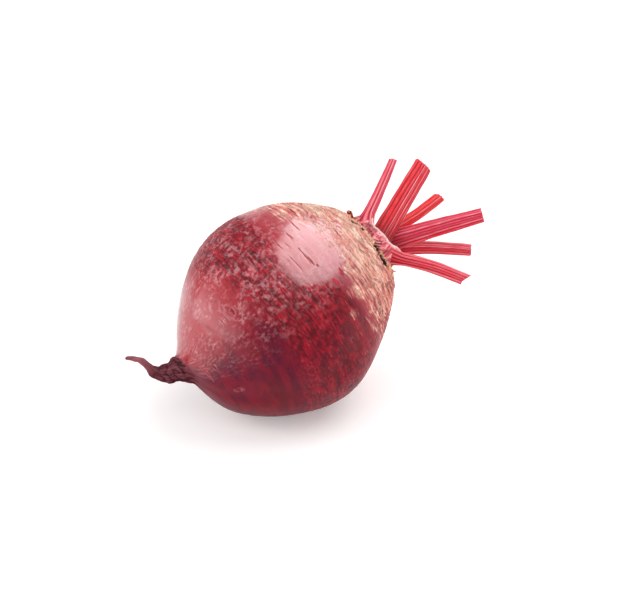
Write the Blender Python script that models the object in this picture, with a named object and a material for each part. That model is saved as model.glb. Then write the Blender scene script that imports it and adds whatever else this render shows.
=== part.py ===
# A whole beetroot lying on its side, with its taproot, its crown and six cut leaf stalks.
#
# The local axis runs through the swollen root: station 0 is its widest ring, and stations grow
# towards the crown. "Up" and "side" are measured square to that axis, and side is the world's +Y.
# A bearing is an angle round the axis, from up towards side. The empty "beetroot" tilts the axis
# off the floor and sets the flat spot under the root on z = 0, with the world's origin at its middle.

import math
import random

import bmesh
import bpy
from mathutils import Matrix, Vector, noise

MM = 0.001

# The swollen root
BODY_RADIUS = 40.8 * MM
TAIL_HALF, TAIL_POWER, TAIL_ROUND = 46.6 * MM, 1.55, 0.52
CROWN_HALF, CROWN_POWER, CROWN_ROUND = 44.6 * MM, 1.55, 0.485
WAIST = 11.0 * MM  # rounds the meeting of the two halves
TAIL_JOIN = -42.6 * MM  # the body's rings end here and the taproot's route begins
RIM_STATION = 41.4 * MM  # the corky skin ends at this ring
BODY_SIDES = 64

# How it lies
AXIS_TILT = math.radians(26.0)
SEAT_HEIGHT = 39.6 * MM  # from the flat spot to the centre of the widest ring
SEAT_AHEAD = 0.0 * MM  # how far the flat spot's middle lies ahead of that centre, towards the crown

# The crown inside the rim: (station, radius, how far its edge rises and falls, how deep its ribs are)
CROWN_RINGS = [
    (41.8 * MM, 13.2 * MM, 0.7 * MM, 0.3 * MM),
    (40.6 * MM, 12.5 * MM, -0.9 * MM, 0.2 * MM),
    (43.0 * MM, 11.9 * MM, 0.2 * MM, -0.4 * MM),
    (45.7 * MM, 11.1 * MM, 0.4 * MM, -0.5 * MM),
    (45.5 * MM, 10.1 * MM, 0.3 * MM, -0.3 * MM),
    (44.6 * MM, 7.4 * MM, 0.0 * MM, 0.0 * MM),
    (44.3 * MM, 3.6 * MM, 0.0 * MM, 0.0 * MM),
]
CROWN_MIDDLE = 44.5 * MM
CROWN_LEAN, LEAN_BEARING = 0.9 * MM, math.radians(-115.0)  # the ring of leaf bases stands higher there
RIM_WAVES, CROWN_RIBS = 7, 16

# The taproot's route after the join: (station, up, side, radius)
TAPROOT = [
    (-42.6 * MM, 0.0 * MM, 0.0 * MM, 15.2 * MM),
    (-44.6 * MM, 3.9 * MM, 1.6 * MM, 8.8 * MM),
    (-46.6 * MM, 6.3 * MM, 2.6 * MM, 5.9 * MM),
    (-49.4 * MM, 7.6 * MM, 3.0 * MM, 4.7 * MM),
    (-52.4 * MM, 8.8 * MM, 3.5 * MM, 3.8 * MM),
    (-54.9 * MM, 11.2 * MM, 4.2 * MM, 2.4 * MM),
    (-55.8 * MM, 14.4 * MM, 5.5 * MM, 1.55 * MM),
    (-56.6 * MM, 17.4 * MM, 7.2 * MM, 1.15 * MM),
    (-58.6 * MM, 19.4 * MM, 8.8 * MM, 0.95 * MM),
    (-60.6 * MM, 20.8 * MM, 10.0 * MM, 0.6 * MM),
]
TAPROOT_RINGS = 24
TAPROOT_TURN = (0.33, 0.58)  # the share of the route over which its rings turn square to it

# Relief on the skin
LUMP_HEIGHT, LUMP_SIZE = 0.7 * MM, 21.0 * MM
# Where the root grew uneven: (station, bearing, reach along, reach round, height)
SWELLS = [
    (-38 * MM, math.radians(40), 16 * MM, math.radians(50), -1.9 * MM),
    (22 * MM, math.radians(-140), 18 * MM, math.radians(50), -1.7 * MM),
    (-22 * MM, math.radians(-125), 18 * MM, math.radians(40), -0.7 * MM),
    (-14 * MM, math.radians(180), 14 * MM, math.radians(30), 0.5 * MM),
]
SHOULDER_LOBES, LOBE_HEIGHT, LOBE_PHASE = 5, 0.6 * MM, math.radians(160.0)
FURROW_BEARINGS = (math.radians(82.0), math.radians(-98.0))
FURROW_DEPTH, FURROW_WIDTH = 0.9 * MM, math.radians(13.0)
CORK_HEIGHT, CORK_SPACING = 0.28 * MM, 2.6 * MM
SCAR_COUNT, SCAR_HEIGHT, SCAR_STATION = 9, 0.8 * MM, 39.0 * MM
WRINKLE_SHARE = 0.16  # of the taproot's radius

# The leaf stalks: foot (up, side), tip (station, up, side), half width (low down, at the tip),
# extra half width at the foot, thickness as a share of width, the bearing that the ribbed back
# faces, a sideways bow, and the slant of the cut end. All in millimetres and degrees.
STALKS = {
    "stalk_upper_thin": ((10.4, -0.6), (68.4, 20.4, 6.3), (2.6, 1.55), 0.6, 0.86, -30, 0.3, 10),
    "stalk_upper_thick": ((2.4, -5.0), (77.0, 13.0, 1.7), (4.6, 3.8), 0.7, 0.62, -62, 0.0, -8),
    "stalk_rear_short": ((-0.8, 5.2), (77.9, -6.0, 3.3), (2.5, 2.3), 0.2, 0.8, -30, 2.2, 12),
    "stalk_long": ((-3.0, -0.4), (82.9, -9.2, -17.9), (4.5, 2.9), -1.4, 0.62, -62, -0.4, 0),
    "stalk_rear_low": ((-8.4, 3.8), (74.2, -23.8, -12.9), (3.0, 2.5), 0.1, 0.76, -50, -1.3, 0),
    "stalk_front_low": ((-4.0, -10.8), (60.2, -17.9, -30.9), (2.7, 2.5), 0.8, 0.78, -84, -1.2, -34),
}
STALK_RIBS, RIB_DEPTH = 11, 0.18  # the depth is a share of the stalk's radius
STALK_RINGS = 10
FLARE_SHARE = 0.3  # of the stalk's length
FOOT_SINK = 2.5 * MM  # how far a stalk is drawn into the crown before it is cut off there
CLEARANCE = 0.35 * MM  # left between the crown and each stalk

# Rootlets on the taproot
ROOTLET_COUNT, ROOTLET_SIDES, ROOTLET_STEPS = 10, 5, 3
ROOTLET_RADIUS = 0.4 * MM
ROOTLET_LENGTHS = (2.6 * MM, 4.6 * MM)

UP, SIDE, AXIS = Vector((0, 0, 1)), Vector((0, 1, 0)), Vector((1, 0, 0))


def radius_at(station):
    # Each half is a rounded cone: blunter than an ellipse at its end, straighter on its flank.
    if station < 0:
        half, power, roundness = TAIL_HALF, TAIL_POWER, TAIL_ROUND
    else:
        half, power, roundness = CROWN_HALF, CROWN_POWER, CROWN_ROUND
    reach = math.hypot(half, WAIST)
    fall = 1 - (math.hypot(station, WAIST) / reach) ** power
    return BODY_RADIUS * (fall / (1 - (WAIST / reach) ** power)) ** roundness


def smooth_step(value, start, end):
    share = min(1.0, max(0.0, (value - start) / (end - start)))
    return share * share * (3 - 2 * share)


def angle_between(a, b):
    return math.atan2(math.sin(a - b), math.cos(a - b))


def skin_relief(station, bearing, point):
    # Height of the skin above the turned form, from broad lumps down to the cork's rings.
    lumps = LUMP_HEIGHT * noise.noise(point / LUMP_SIZE)
    for middle, facing, along, around, height in SWELLS:
        away = angle_between(bearing, facing) / around
        lumps += height * math.exp(-(((station - middle) / along) ** 2) - away * away)
    shoulder = smooth_step(station, 16 * MM, 38 * MM)
    lobes = LOBE_HEIGHT * shoulder * math.cos(SHOULDER_LOBES * bearing + LOBE_PHASE)
    furrows = 0.0
    for middle in FURROW_BEARINGS:
        wander = 0.12 * math.sin(station / (9 * MM))
        away = angle_between(bearing, middle + wander) / FURROW_WIDTH
        furrows -= FURROW_DEPTH * math.exp(-away * away) * (1 - shoulder)
    cork = smooth_step(station, 22 * MM, 32 * MM) * (1 - smooth_step(station, 39 * MM, 41 * MM))
    drift = 1.5 * noise.noise(point / (14 * MM))
    rings = CORK_HEIGHT * cork * math.sin(math.tau * station / CORK_SPACING + drift)
    scar_band = math.exp(-(((station - SCAR_STATION) / (1.7 * MM)) ** 2))
    scars = SCAR_HEIGHT * scar_band * (0.5 + 0.5 * math.cos(SCAR_COUNT * bearing)) ** 2
    return lumps + lobes + furrows + rings + scars


def taproot_relief(along, bearing, radius):
    # Folds that twist down the taproot, crossed by rings where it has shrunk.
    folds = 0.6 * math.cos(3 * bearing + 5.5 * along) + 0.4 * math.cos(5 * bearing - 3.0 * along)
    shrunk = 0.5 * math.sin(34 * along + 1.3 * math.sin(bearing))
    return WRINKLE_SHARE * radius * (folds + shrunk) * smooth_step(along, 0.05, 0.3)


def catmull(points, share):
    # A smooth curve through the points, which carry any number of values each.
    place = share * (len(points) - 1)
    i = min(int(place), len(points) - 2)
    t = place - i
    before, a, b, after = (points[min(max(i + k, 0), len(points) - 1)] for k in (-1, 0, 1, 2))
    return [
        0.5 * (2 * q + (r - p) * t + (2 * p - 5 * q + 4 * r - s) * t * t + (3 * q - p - 3 * r + s) * t**3)
        for p, q, r, s in zip(before, a, b, after)
    ]


def placed(station, up, side):
    return Vector((station, side, up))


def ring_points(centre, up, side, radii):
    count = len(radii)
    return [
        centre + (up * math.cos(math.tau * i / count) + side * math.sin(math.tau * i / count)) * radii[i]
        for i in range(count)
    ]


def skin_ring(station):
    radius = radius_at(station)
    plain = ring_points(AXIS * station, UP, SIDE, [radius] * BODY_SIDES)
    radii = [
        radius + skin_relief(station, math.tau * i / BODY_SIDES, point)
        for i, point in enumerate(plain)
    ]
    return ring_points(AXIS * station, UP, SIDE, radii)


def body_stations():
    # Rings stand closest together on the shoulders and where the taproot starts.
    stations = []
    station = TAIL_JOIN
    while station < RIM_STATION - 0.6 * MM:
        stations.append(station)
        shoulder = smooth_step(station, 6 * MM, 28 * MM)
        tail = 1 - smooth_step(station, -42 * MM, -30 * MM)
        station += (3.3 - 2.05 * shoulder - 1.6 * tail) * MM
    return stations


def taproot_rings(sides):
    # Rings square to the route, carried along it without twist.
    rings = []
    up, side = UP, SIDE
    for k in range(1, TAPROOT_RINGS + 1):
        along = k / TAPROOT_RINGS
        station, high, aside, radius = catmull(TAPROOT, along)
        centre = placed(station, high, aside)
        ahead = placed(*catmull(TAPROOT, min(1.0, along + 0.01))[:3])
        behind = placed(*catmull(TAPROOT, max(0.0, along - 0.01))[:3])
        route = (behind - ahead).normalized()
        route = AXIS.lerp(route, smooth_step(along, *TAPROOT_TURN)).normalized()
        up = (up - route * up.dot(route)).normalized()
        side = up.cross(route)
        fade = 1 - smooth_step(along, 0.0, 0.22)
        radii = []
        for i, point in enumerate(ring_points(centre, up, side, [radius] * sides)):
            bearing = math.tau * i / sides
            skin = fade * skin_relief(TAIL_JOIN, bearing, point)
            radii.append(radius + skin + taproot_relief(along, bearing, radius))
        rings.append(ring_points(centre, up, side, radii))
    return rings


def crown_rings(grow=0.0):
    # From the rim to the middle of the crown, or the same form grown by the clearance.
    rings = []
    for place, (station, radius, wave, rib) in enumerate(CROWN_RINGS):
        sides = BODY_SIDES if place < 5 else BODY_SIDES // 2
        turns = [math.tau * i / sides for i in range(sides)]
        radii = [radius + grow + rib * math.cos(CROWN_RIBS * turn) for turn in turns]
        ring = ring_points(AXIS * (station + grow), UP, SIDE, radii)
        for bearing, point in zip(turns, ring):
            lift = wave * math.cos(RIM_WAVES * bearing + 2 * math.sin(bearing))
            lean = CROWN_LEAN * math.cos(bearing - LEAN_BEARING) * radius / CROWN_RINGS[0][1]
            point += AXIS * (lift + lean * smooth_step(station, 41.7 * MM, 44.3 * MM))
        rings.append(ring)
    return rings


def bridge(mesh, wide, narrow):
    # Joins two rings of vertices. The narrow one may have half as many.
    count = len(wide)
    if len(narrow) == count:
        for i in range(count):
            j = (i + 1) % count
            mesh.faces.new((wide[i], wide[j], narrow[j], narrow[i]))
        return
    for i, first in enumerate(narrow):
        second = narrow[(i + 1) % len(narrow)]
        a, b, c = wide[2 * i], wide[2 * i + 1], wide[(2 * i + 2) % count]
        mesh.faces.new((a, b, first))
        mesh.faces.new((b, second, first))
        mesh.faces.new((b, c, second))


def skin_over(rings, first_end, last_end):
    # One closed mesh over a row of rings, with a fan of triangles at each end.
    mesh = bmesh.new()
    rows = [[mesh.verts.new(point) for point in ring] for ring in rings]
    for lower, upper in zip(rows, rows[1:]):
        if len(upper) > len(lower):
            bridge(mesh, upper, lower)
        else:
            bridge(mesh, lower, upper)
    for row, end in ((rows[0], first_end), (rows[-1], last_end)):
        tip = mesh.verts.new(end)
        for i, vertex in enumerate(row):
            mesh.faces.new((vertex, row[(i + 1) % len(row)], tip))
    bmesh.ops.recalc_face_normals(mesh, faces=mesh.faces[:])
    return mesh


def object_from(mesh, name, parent, material=None):
    data = bpy.data.meshes.new(name)
    mesh.to_mesh(data)
    mesh.free()
    data.shade_smooth()
    data.set_sharp_from_angle(angle=math.radians(40))
    if material:
        data.materials.append(material)
    made = bpy.data.objects.new(name, data)
    bpy.context.scene.collection.objects.link(made)
    made.parent = parent
    return made


def plain_material(name, colour, roughness):
    material = bpy.data.materials.new(name)
    material.use_nodes = True
    shader = material.node_tree.nodes["Principled BSDF"]
    shader.inputs["Base Color"].default_value = (*colour, 1)
    shader.inputs["Roughness"].default_value = roughness
    shader.inputs["Metallic"].default_value = 0.0
    return material


def make_root(parent, material):
    taproot = taproot_rings(BODY_SIDES // 2)
    station, high, aside, radius = TAPROOT[-1]
    tip = placed(station - radius / 2, high + radius / 2, aside)
    body = [skin_ring(station) for station in body_stations()]
    mesh = skin_over(taproot[::-1] + body + crown_rings(), tip, AXIS * CROWN_MIDDLE)
    return object_from(mesh, "root", parent, material)


def make_rootlets(parent):
    # Thin roots on both sides of the taproot, held in one collection for the union.
    rootlets = bpy.data.collections.new("rootlets")
    bpy.context.scene.collection.children.link(rootlets)
    draw = random.Random(7)
    for k in range(ROOTLET_COUNT):
        along = 0.36 + 0.5 * (k + draw.uniform(0.0, 0.6)) / ROOTLET_COUNT
        station, high, aside, radius = catmull(TAPROOT, along)
        bearing = FURROW_BEARINGS[k % 2] + math.radians(draw.uniform(-50, 50))
        out = placed(draw.uniform(-0.5, 0.1), math.cos(bearing), math.sin(bearing)).normalized()
        droop = placed(draw.uniform(-0.3, 0.2), draw.uniform(-0.5, -0.1), 0)
        length = draw.uniform(*ROOTLET_LENGTHS)
        start = placed(station, high, aside) + out * radius * 0.4
        length += radius * 0.6
        across = out.orthogonal().normalized()
        other = out.cross(across)
        rings = []
        for step in range(ROOTLET_STEPS + 1):
            share = step / ROOTLET_STEPS
            centre = start + out * length * share + droop * length * share * share * 0.6
            radii = [ROOTLET_RADIUS * (1 - 0.45 * share)] * ROOTLET_SIDES
            rings.append(ring_points(centre, across, other, radii))
        mesh = skin_over(rings, start - out * ROOTLET_RADIUS / 2, centre + out * ROOTLET_RADIUS / 2)
        rootlet = object_from(mesh, f"rootlet_{k}", parent)
        bpy.context.scene.collection.objects.unlink(rootlet)
        rootlets.objects.link(rootlet)
    return rootlets


def join_rootlets(root, rootlets):
    # The union is applied, and the loose rootlets are then removed.
    union = root.modifiers.new("Rootlets", "BOOLEAN")
    union.operation = "UNION"
    union.operand_type = "COLLECTION"
    union.collection = rootlets
    bpy.context.view_layer.update()
    graph = bpy.context.evaluated_depsgraph_get()
    joined = bpy.data.meshes.new_from_object(root.evaluated_get(graph))
    root.modifiers.clear()
    root.data = joined
    for rootlet in list(rootlets.objects):
        bpy.data.objects.remove(rootlet)
    bpy.data.collections.remove(rootlets)


def cut_seat(root):
    # Takes a flat spot off the belly, square to the world's vertical.
    down = Matrix.Rotation(AXIS_TILT, 3, "Y") @ Vector((0, 0, -1))
    mesh = bmesh.new()
    mesh.from_mesh(root.data)
    geometry = mesh.verts[:] + mesh.edges[:] + mesh.faces[:]
    cut = bmesh.ops.bisect_plane(
        mesh, geom=geometry, dist=1e-7, plane_co=down * SEAT_HEIGHT, plane_no=down, clear_outer=True
    )
    edges = [piece for piece in cut["geom_cut"] if isinstance(piece, bmesh.types.BMEdge)]
    bmesh.ops.contextual_create(mesh, geom=edges)
    bmesh.ops.recalc_face_normals(mesh, faces=mesh.faces[:])
    mesh.to_mesh(root.data)
    mesh.free()


def stalk_section(turn, half_width, thickness):
    # An oval with ribs all round and a shallow channel down its inner side.
    oval = half_width / math.hypot(math.cos(turn) / thickness, math.sin(turn))
    rib = 1 + RIB_DEPTH * 0.5 * (math.cos(STALK_RIBS * turn) - 1)
    away = angle_between(turn, math.pi) / 0.75
    return oval * rib * (1 - 0.16 * math.exp(-away * away))


def make_stalk(name, values, parent, material):
    (foot_up, foot_side), tip_place, (low, high), flare, thickness, facing, bow, slant = values
    foot = placed(CROWN_MIDDLE, foot_up * MM, foot_side * MM)
    tip = placed(*(value * MM for value in tip_place))
    route = (tip - foot).normalized()
    foot -= route * FOOT_SINK
    length = (tip - foot).length
    back = placed(0, math.cos(math.radians(facing)), math.sin(math.radians(facing)))
    across = route.cross(back).normalized()
    sides = 2 * STALK_RIBS
    rings = []
    for k in range(STALK_RINGS + 1):
        along = (k / STALK_RINGS) ** 1.3  # rings crowd towards the foot, where the width changes
        centre = foot.lerp(tip, along) + across * bow * MM * math.sin(math.pi * along)
        lean = route + across * bow * MM * math.pi * math.cos(math.pi * along) / length
        lean.normalize()
        outer = (back - lean * back.dot(lean)).normalized()
        side = lean.cross(outer)
        spread = max(0.0, 1 - along / FLARE_SHARE) ** 2
        half_width = (low + (high - low) * along + flare * spread) * MM
        radii = [stalk_section(math.tau * i / sides, half_width, thickness) for i in range(sides)]
        ring = ring_points(centre, outer, side, radii)
        if k == STALK_RINGS:
            for point in ring:
                point += lean * math.tan(math.radians(slant)) * (point - centre).dot(side)
        rings.append(ring)
    return object_from(skin_over(rings, foot, tip), name, parent, material)


def make_crown_cutter(parent):
    # The crown grown by the clearance, on a plain drum that reaches down past every stalk's foot.
    low = RIM_STATION - 8 * MM
    drum = ring_points(AXIS * low, UP, SIDE, [CROWN_RINGS[0][1]] * BODY_SIDES)
    rings = [drum, *crown_rings(CLEARANCE)]
    mesh = skin_over(rings, AXIS * low, AXIS * (CROWN_MIDDLE + CLEARANCE))
    cutter = object_from(mesh, "crown_clearance", parent)
    cutter.hide_render = True
    cutter.display_type = "WIRE"
    return cutter


def main():
    for old in list(bpy.data.objects):
        bpy.data.objects.remove(old)
    skin = plain_material("beet_skin", (0.22, 0.02, 0.045), 0.42)
    stem = plain_material("stalk_flesh", (0.62, 0.03, 0.09), 0.38)
    beetroot = bpy.data.objects.new("beetroot", None)
    bpy.context.scene.collection.objects.link(beetroot)
    beetroot.rotation_euler = (0, -AXIS_TILT, 0)
    beetroot.location = (-SEAT_AHEAD, 0, SEAT_HEIGHT)
    root = make_root(beetroot, skin)
    join_rootlets(root, make_rootlets(beetroot))
    cut_seat(root)
    cutter = make_crown_cutter(beetroot)
    for name, values in STALKS.items():
        stalk = make_stalk(name, values, beetroot, stem)
        cut = stalk.modifiers.new("Foot", "BOOLEAN")
        cut.operation = "DIFFERENCE"
        cut.object = cutter


main()
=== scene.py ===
# The looks of one beetroot: a whole root on its side, with its taproot, its corky crown and six
# cut leaf stalks, on a pale studio floor. Shapes are worked out in millimetres on the root's own
# axis, as in the frame: station runs along the axis towards the crown with 0 at the widest ring,
# and a bearing is the angle round it, from up towards side.

import math
import random

import bpy
import numpy as np
from mathutils import Matrix, Vector, noise


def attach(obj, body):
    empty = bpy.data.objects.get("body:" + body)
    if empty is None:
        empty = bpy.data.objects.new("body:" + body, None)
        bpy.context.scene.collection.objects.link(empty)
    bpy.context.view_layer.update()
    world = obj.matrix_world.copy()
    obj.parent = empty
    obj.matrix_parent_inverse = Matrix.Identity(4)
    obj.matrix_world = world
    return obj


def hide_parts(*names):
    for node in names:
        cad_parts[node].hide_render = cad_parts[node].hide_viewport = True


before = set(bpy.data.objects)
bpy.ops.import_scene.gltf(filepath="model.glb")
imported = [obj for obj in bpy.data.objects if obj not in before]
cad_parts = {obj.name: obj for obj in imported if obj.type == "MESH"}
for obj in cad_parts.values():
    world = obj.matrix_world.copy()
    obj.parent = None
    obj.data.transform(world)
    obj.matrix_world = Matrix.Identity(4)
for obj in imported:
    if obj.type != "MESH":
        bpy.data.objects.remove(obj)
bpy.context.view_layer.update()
print("frame loaded with", len(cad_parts), "nodes")

mm = 0.001
tau = math.tau

# How the root lies: the tilt of its axis and the height of its widest ring's centre over the floor
lie = {"tilt": 26.0, "seatHeight": 39.6}
toWorld = Matrix.Translation((0, 0, lie["seatHeight"] * mm)) @ Matrix.Rotation(-math.radians(lie["tilt"]), 4, "Y")
worldTurn = np.array(toWorld.to_3x3())
worldShift = np.array(toWorld.translation)


def inWorld(points):
    # Local millimetres to metres in the frame
    return np.asarray(points, float) @ worldTurn.T * mm + worldShift


def smoothStep(value, start, end):
    share = np.clip((value - start) / (end - start), 0.0, 1.0)
    return share * share * (3 - 2 * share)


def angleBetween(a, b):
    return np.arctan2(np.sin(a - b), np.cos(a - b))


def noiseAt(points, size, shift=0.0):
    # Smooth noise from about -1 to 1. The size is one number, or one for each axis.
    scaled = points / np.asarray(size, float) + shift
    return np.array([noise.noise(Vector(p)) for p in scaled.tolist()])


def cellsAt(points, size, shift=0.0):
    # Distance to the nearest cell's middle and the next one's
    scaled = points / np.asarray(size, float) + shift
    found = np.array([noise.voronoi(Vector(p))[0][:2] for p in scaled.tolist()])
    return found[:, 0], found[:, 1]


def catmull(points, share):
    # A smooth curve through rows of values
    place = share * (len(points) - 1)
    i = min(int(place), len(points) - 2)
    t = place - i
    p, q, r, s = (np.array(points[min(max(i + k, 0), len(points) - 1)], float) for k in (-1, 0, 1, 2))
    return 0.5 * (2 * q + (r - p) * t + (2 * p - 5 * q + 4 * r - s) * t * t + (3 * q - p - 3 * r + s) * t**3)


def ringOf(centre, up, side, radii):
    turns = np.arange(len(radii)) * tau / len(radii)
    return centre + np.outer(np.cos(turns) * radii, up) + np.outer(np.sin(turns) * radii, side)


class RingSkin:
    # Gathers rings of points and what each point carries, then makes one mesh over them
    def __init__(self):
        self.points, self.faces, self.values, self.marks = [], [], {}, []
        self.last, self.count = None, 0

    def add(self, ring, mark=0, **values):
        first = self.count
        size = len(ring)
        self.points.append(np.asarray(ring, float))
        for key, value in values.items():
            self.values.setdefault(key, []).append(np.broadcast_to(value, (size,) + np.shape(value)[1:]))
        if self.last is not None:
            self.join(self.last, (first, size), mark)
        self.last = (first, size)
        self.count += size

    def join(self, lower, upper, mark):
        (a, m), (b, n) = lower, upper
        if m == n:
            made = [(a + i, a + (i + 1) % m, b + (i + 1) % n, b + i) for i in range(m)]
        elif m == 2 * n:
            made = []
            for i in range(n):
                p, q, r = a + 2 * i, a + 2 * i + 1, a + (2 * i + 2) % m
                made += [(p, q, b + i), (q, b + (i + 1) % n, b + i), (q, r, b + (i + 1) % n)]
        else:
            made = []
            for i in range(m):
                p, q, r = b + 2 * i, b + 2 * i + 1, b + (2 * i + 2) % n
                made += [(a + i, q, p), (a + i, a + (i + 1) % m, q), (a + (i + 1) % m, r, q)]
        self.faces += made
        self.marks += [mark] * len(made)

    def close(self, centre, mark=0, atStart=False):
        # A fan over the last ring, or over the first one
        first, size = (0, len(self.points[0])) if atStart else self.last
        tip = self.count
        self.points.append(np.asarray(centre, float).reshape(1, 3))
        for key in self.values:
            rows = self.values[key]
            near = rows[0] if atStart else rows[-1]
            rows.append(near.mean(axis=0, keepdims=True))
        self.count += 1
        for i in range(size):
            a, b = first + i, first + (i + 1) % size
            self.faces.append((b, a, tip) if atStart else (a, b, tip))
            self.marks.append(mark)

    def finish(self, name, materials, relief=None, world=True):
        points = np.concatenate(self.points)
        values = {key: np.concatenate(rows) for key, rows in self.values.items()}
        values["spot"] = points
        faces = facingOut(points, self.faces)
        if relief is not None:
            points = points + normalsOf(points, faces) * relief(points, values)[:, None]
        return meshObject(name, inWorld(points) if world else points, faces, materials, self.marks, values)


def facingOut(points, faces):
    # Turns every face round when together they face inwards
    triangles = np.array([(f[0], f[i], f[i + 1]) for f in faces for i in range(1, len(f) - 1)])
    a, b, c = (points[triangles[:, i]] for i in range(3))
    return faces if np.sum(a * np.cross(b, c)) > 0 else [f[::-1] for f in faces]


def onRing(station, radius, bearing):
    turn = math.radians(bearing)
    return np.array([station, radius * math.sin(turn), radius * math.cos(turn)])


def addStrand(skin, path, radii, sides=6, **values):
    # One more tapering strand along a path, in a skin that may hold many
    skin.last = None
    path = np.asarray(path, float)
    up = np.array([0.31, 0.52, 0.79])
    for i, here in enumerate(path):
        way = path[min(i + 1, len(path) - 1)] - path[max(i - 1, 0)]
        way = way / np.linalg.norm(way)
        up = up - way * up.dot(way)
        up = up / np.linalg.norm(up)
        ring = ringOf(here, up, np.cross(way, up), np.full(sides, float(radii[i])))
        skin.add(ring, place=ring, **values)


def normalsOf(points, faces):
    mesh = bpy.data.meshes.new("normals")
    mesh.from_pydata(points.tolist(), [], faces)
    found = np.zeros(len(points) * 3, np.float32)
    mesh.vertex_normals.foreach_get("vector", found)
    bpy.data.meshes.remove(mesh)
    return found.reshape(-1, 3).astype(float)


def meshObject(name, points, faces, materials, marks=None, values=None, sharpAngle=50):
    mesh = bpy.data.meshes.new(name)
    mesh.from_pydata(np.asarray(points).tolist(), [], faces)
    for material in materials:
        mesh.materials.append(material)
    if marks is not None:
        mesh.polygons.foreach_set("material_index", np.array(marks, np.int32))
    for key, rows in (values or {}).items():
        kind = "FLOAT_VECTOR" if np.ndim(rows) == 2 else "FLOAT"
        field = "vector" if kind == "FLOAT_VECTOR" else "value"
        made = mesh.attributes.new(key, kind, "POINT")
        made.data.foreach_set(field, np.asarray(rows, np.float32).ravel())
    mesh.shade_smooth()
    mesh.set_sharp_from_angle(angle=math.radians(sharpAngle))
    mesh.update()
    piece = bpy.data.objects.new(name, mesh)
    bpy.context.scene.collection.objects.link(piece)
    return piece


# Small helpers for the node trees: an input takes a number, a colour or another node's output
def put(tree, kind, inputs=None, **settings):
    made = tree.nodes.new("ShaderNode" + kind)
    made.location = (240 * (len(tree.nodes) % 12), -220 * (len(tree.nodes) // 12))
    for key, value in settings.items():
        setattr(made, key, value)
    for key, value in (inputs or {}).items():
        give(tree, made.inputs[key], value)
    return made


def give(tree, socket, value):
    if isinstance(value, bpy.types.NodeSocket):
        tree.links.new(value, socket)
    elif socket.type == "RGBA":
        socket.default_value = (*value[:3], 1)
    else:
        socket.default_value = value


def calc(tree, operation, a, b=0.0, c=0.0, clamp=False):
    return put(tree, "Math", {0: a, 1: b, 2: c}, operation=operation, use_clamp=clamp).outputs[0]


def blend(tree, factor, a, b, kind="MIX"):
    made = put(tree, "Mix", data_type="RGBA", blend_type=kind, clamp_factor=True)
    give(tree, made.inputs["Factor"], factor)
    give(tree, made.inputs[6], a)
    give(tree, made.inputs[7], b)
    return made.outputs[2]


def remap(tree, value, low, high, toLow=0.0, toHigh=1.0, smooth=True):
    made = put(tree, "MapRange", interpolation_type="SMOOTHSTEP" if smooth else "LINEAR")
    for key, given in zip(("Value", "From Min", "From Max", "To Min", "To Max"), (value, low, high, toLow, toHigh)):
        give(tree, made.inputs[key], given)
    return made.outputs["Result"]


def ramp(tree, factor, stops):
    made = put(tree, "ValToRGB", {"Fac": factor})
    bar = made.color_ramp
    while len(bar.elements) < len(stops):
        bar.elements.new(0.5)
    for element, (position, colour) in zip(bar.elements, stops):
        element.position = position
        element.color = (*colour, 1)
    return made.outputs["Color"]


def carried(tree, name, output="Fac"):
    # What the mesh's points carry under that name
    return put(tree, "Attribute", attribute_name=name).outputs[output]


def stretched(tree, place, x, y, z):
    # The place divided by three sizes, each a number or a socket
    sizes = put(tree, "CombineXYZ", {0: x, 1: y, 2: z}).outputs[0]
    return put(tree, "VectorMath", {0: place, 1: sizes}, operation="DIVIDE").outputs[0]


def cloud(tree, place, scale=1.0, detail=3.0, roughness=0.55, distortion=0.0):
    inputs = {"Vector": place, "Scale": scale, "Detail": detail, "Roughness": roughness, "Distortion": distortion}
    return put(tree, "TexNoise", inputs).outputs["Fac"]


def newGroup(name, inputs, outputs):
    # A node group with its named sockets: {name: (kind, first value)} going in, {name: kind} coming out
    tree = bpy.data.node_groups.new(name, "ShaderNodeTree")
    for key, (kind, first) in inputs.items():
        made = tree.interface.new_socket(key, in_out="INPUT", socket_type="NodeSocket" + kind)
        if first is not None:
            made.default_value = first
    for key, kind in outputs.items():
        tree.interface.new_socket(key, in_out="OUTPUT", socket_type="NodeSocket" + kind)
    return tree, tree.nodes.new("NodeGroupInput").outputs, tree.nodes.new("NodeGroupOutput").inputs


def useGroup(tree, group, inputs):
    made = put(tree, "Group", node_tree=group)
    for key, value in inputs.items():
        give(tree, made.inputs[key], value)
    return made.outputs


def streakGroup():
    # Broken lines that run one way: closely spaced across x, long across y and z
    inputs = {"Place": ("Vector", None), "Spacing": ("Float", 1.0), "Length": ("Float", 8.0), "Wander": ("Float", 2.0)}
    tree, given, out = newGroup("brokenStreaks", inputs, {"Streaks": "Float", "Lines": "Float"})
    drift = calc(tree, "SUBTRACT", cloud(tree, given["Place"], 0.09, 1.0), 0.5)
    spread = put(tree, "CombineXYZ", {0: calc(tree, "MULTIPLY", drift, given["Wander"])}).outputs[0]
    bent = put(tree, "VectorMath", {0: given["Place"], 1: spread}, operation="ADD").outputs[0]
    place = stretched(tree, bent, given["Spacing"], given["Length"], given["Length"])
    soft = cloud(tree, place, 1.0, 2.0, 0.5)
    give(tree, out["Streaks"], remap(tree, soft, 0.34, 0.68))
    ridge = calc(tree, "ABSOLUTE", calc(tree, "SUBTRACT", cloud(tree, place, 0.7, 2.0, 0.5), 0.5))
    give(tree, out["Lines"], remap(tree, ridge, 0.0, 0.055, 1.0, 0.0))
    return tree


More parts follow.
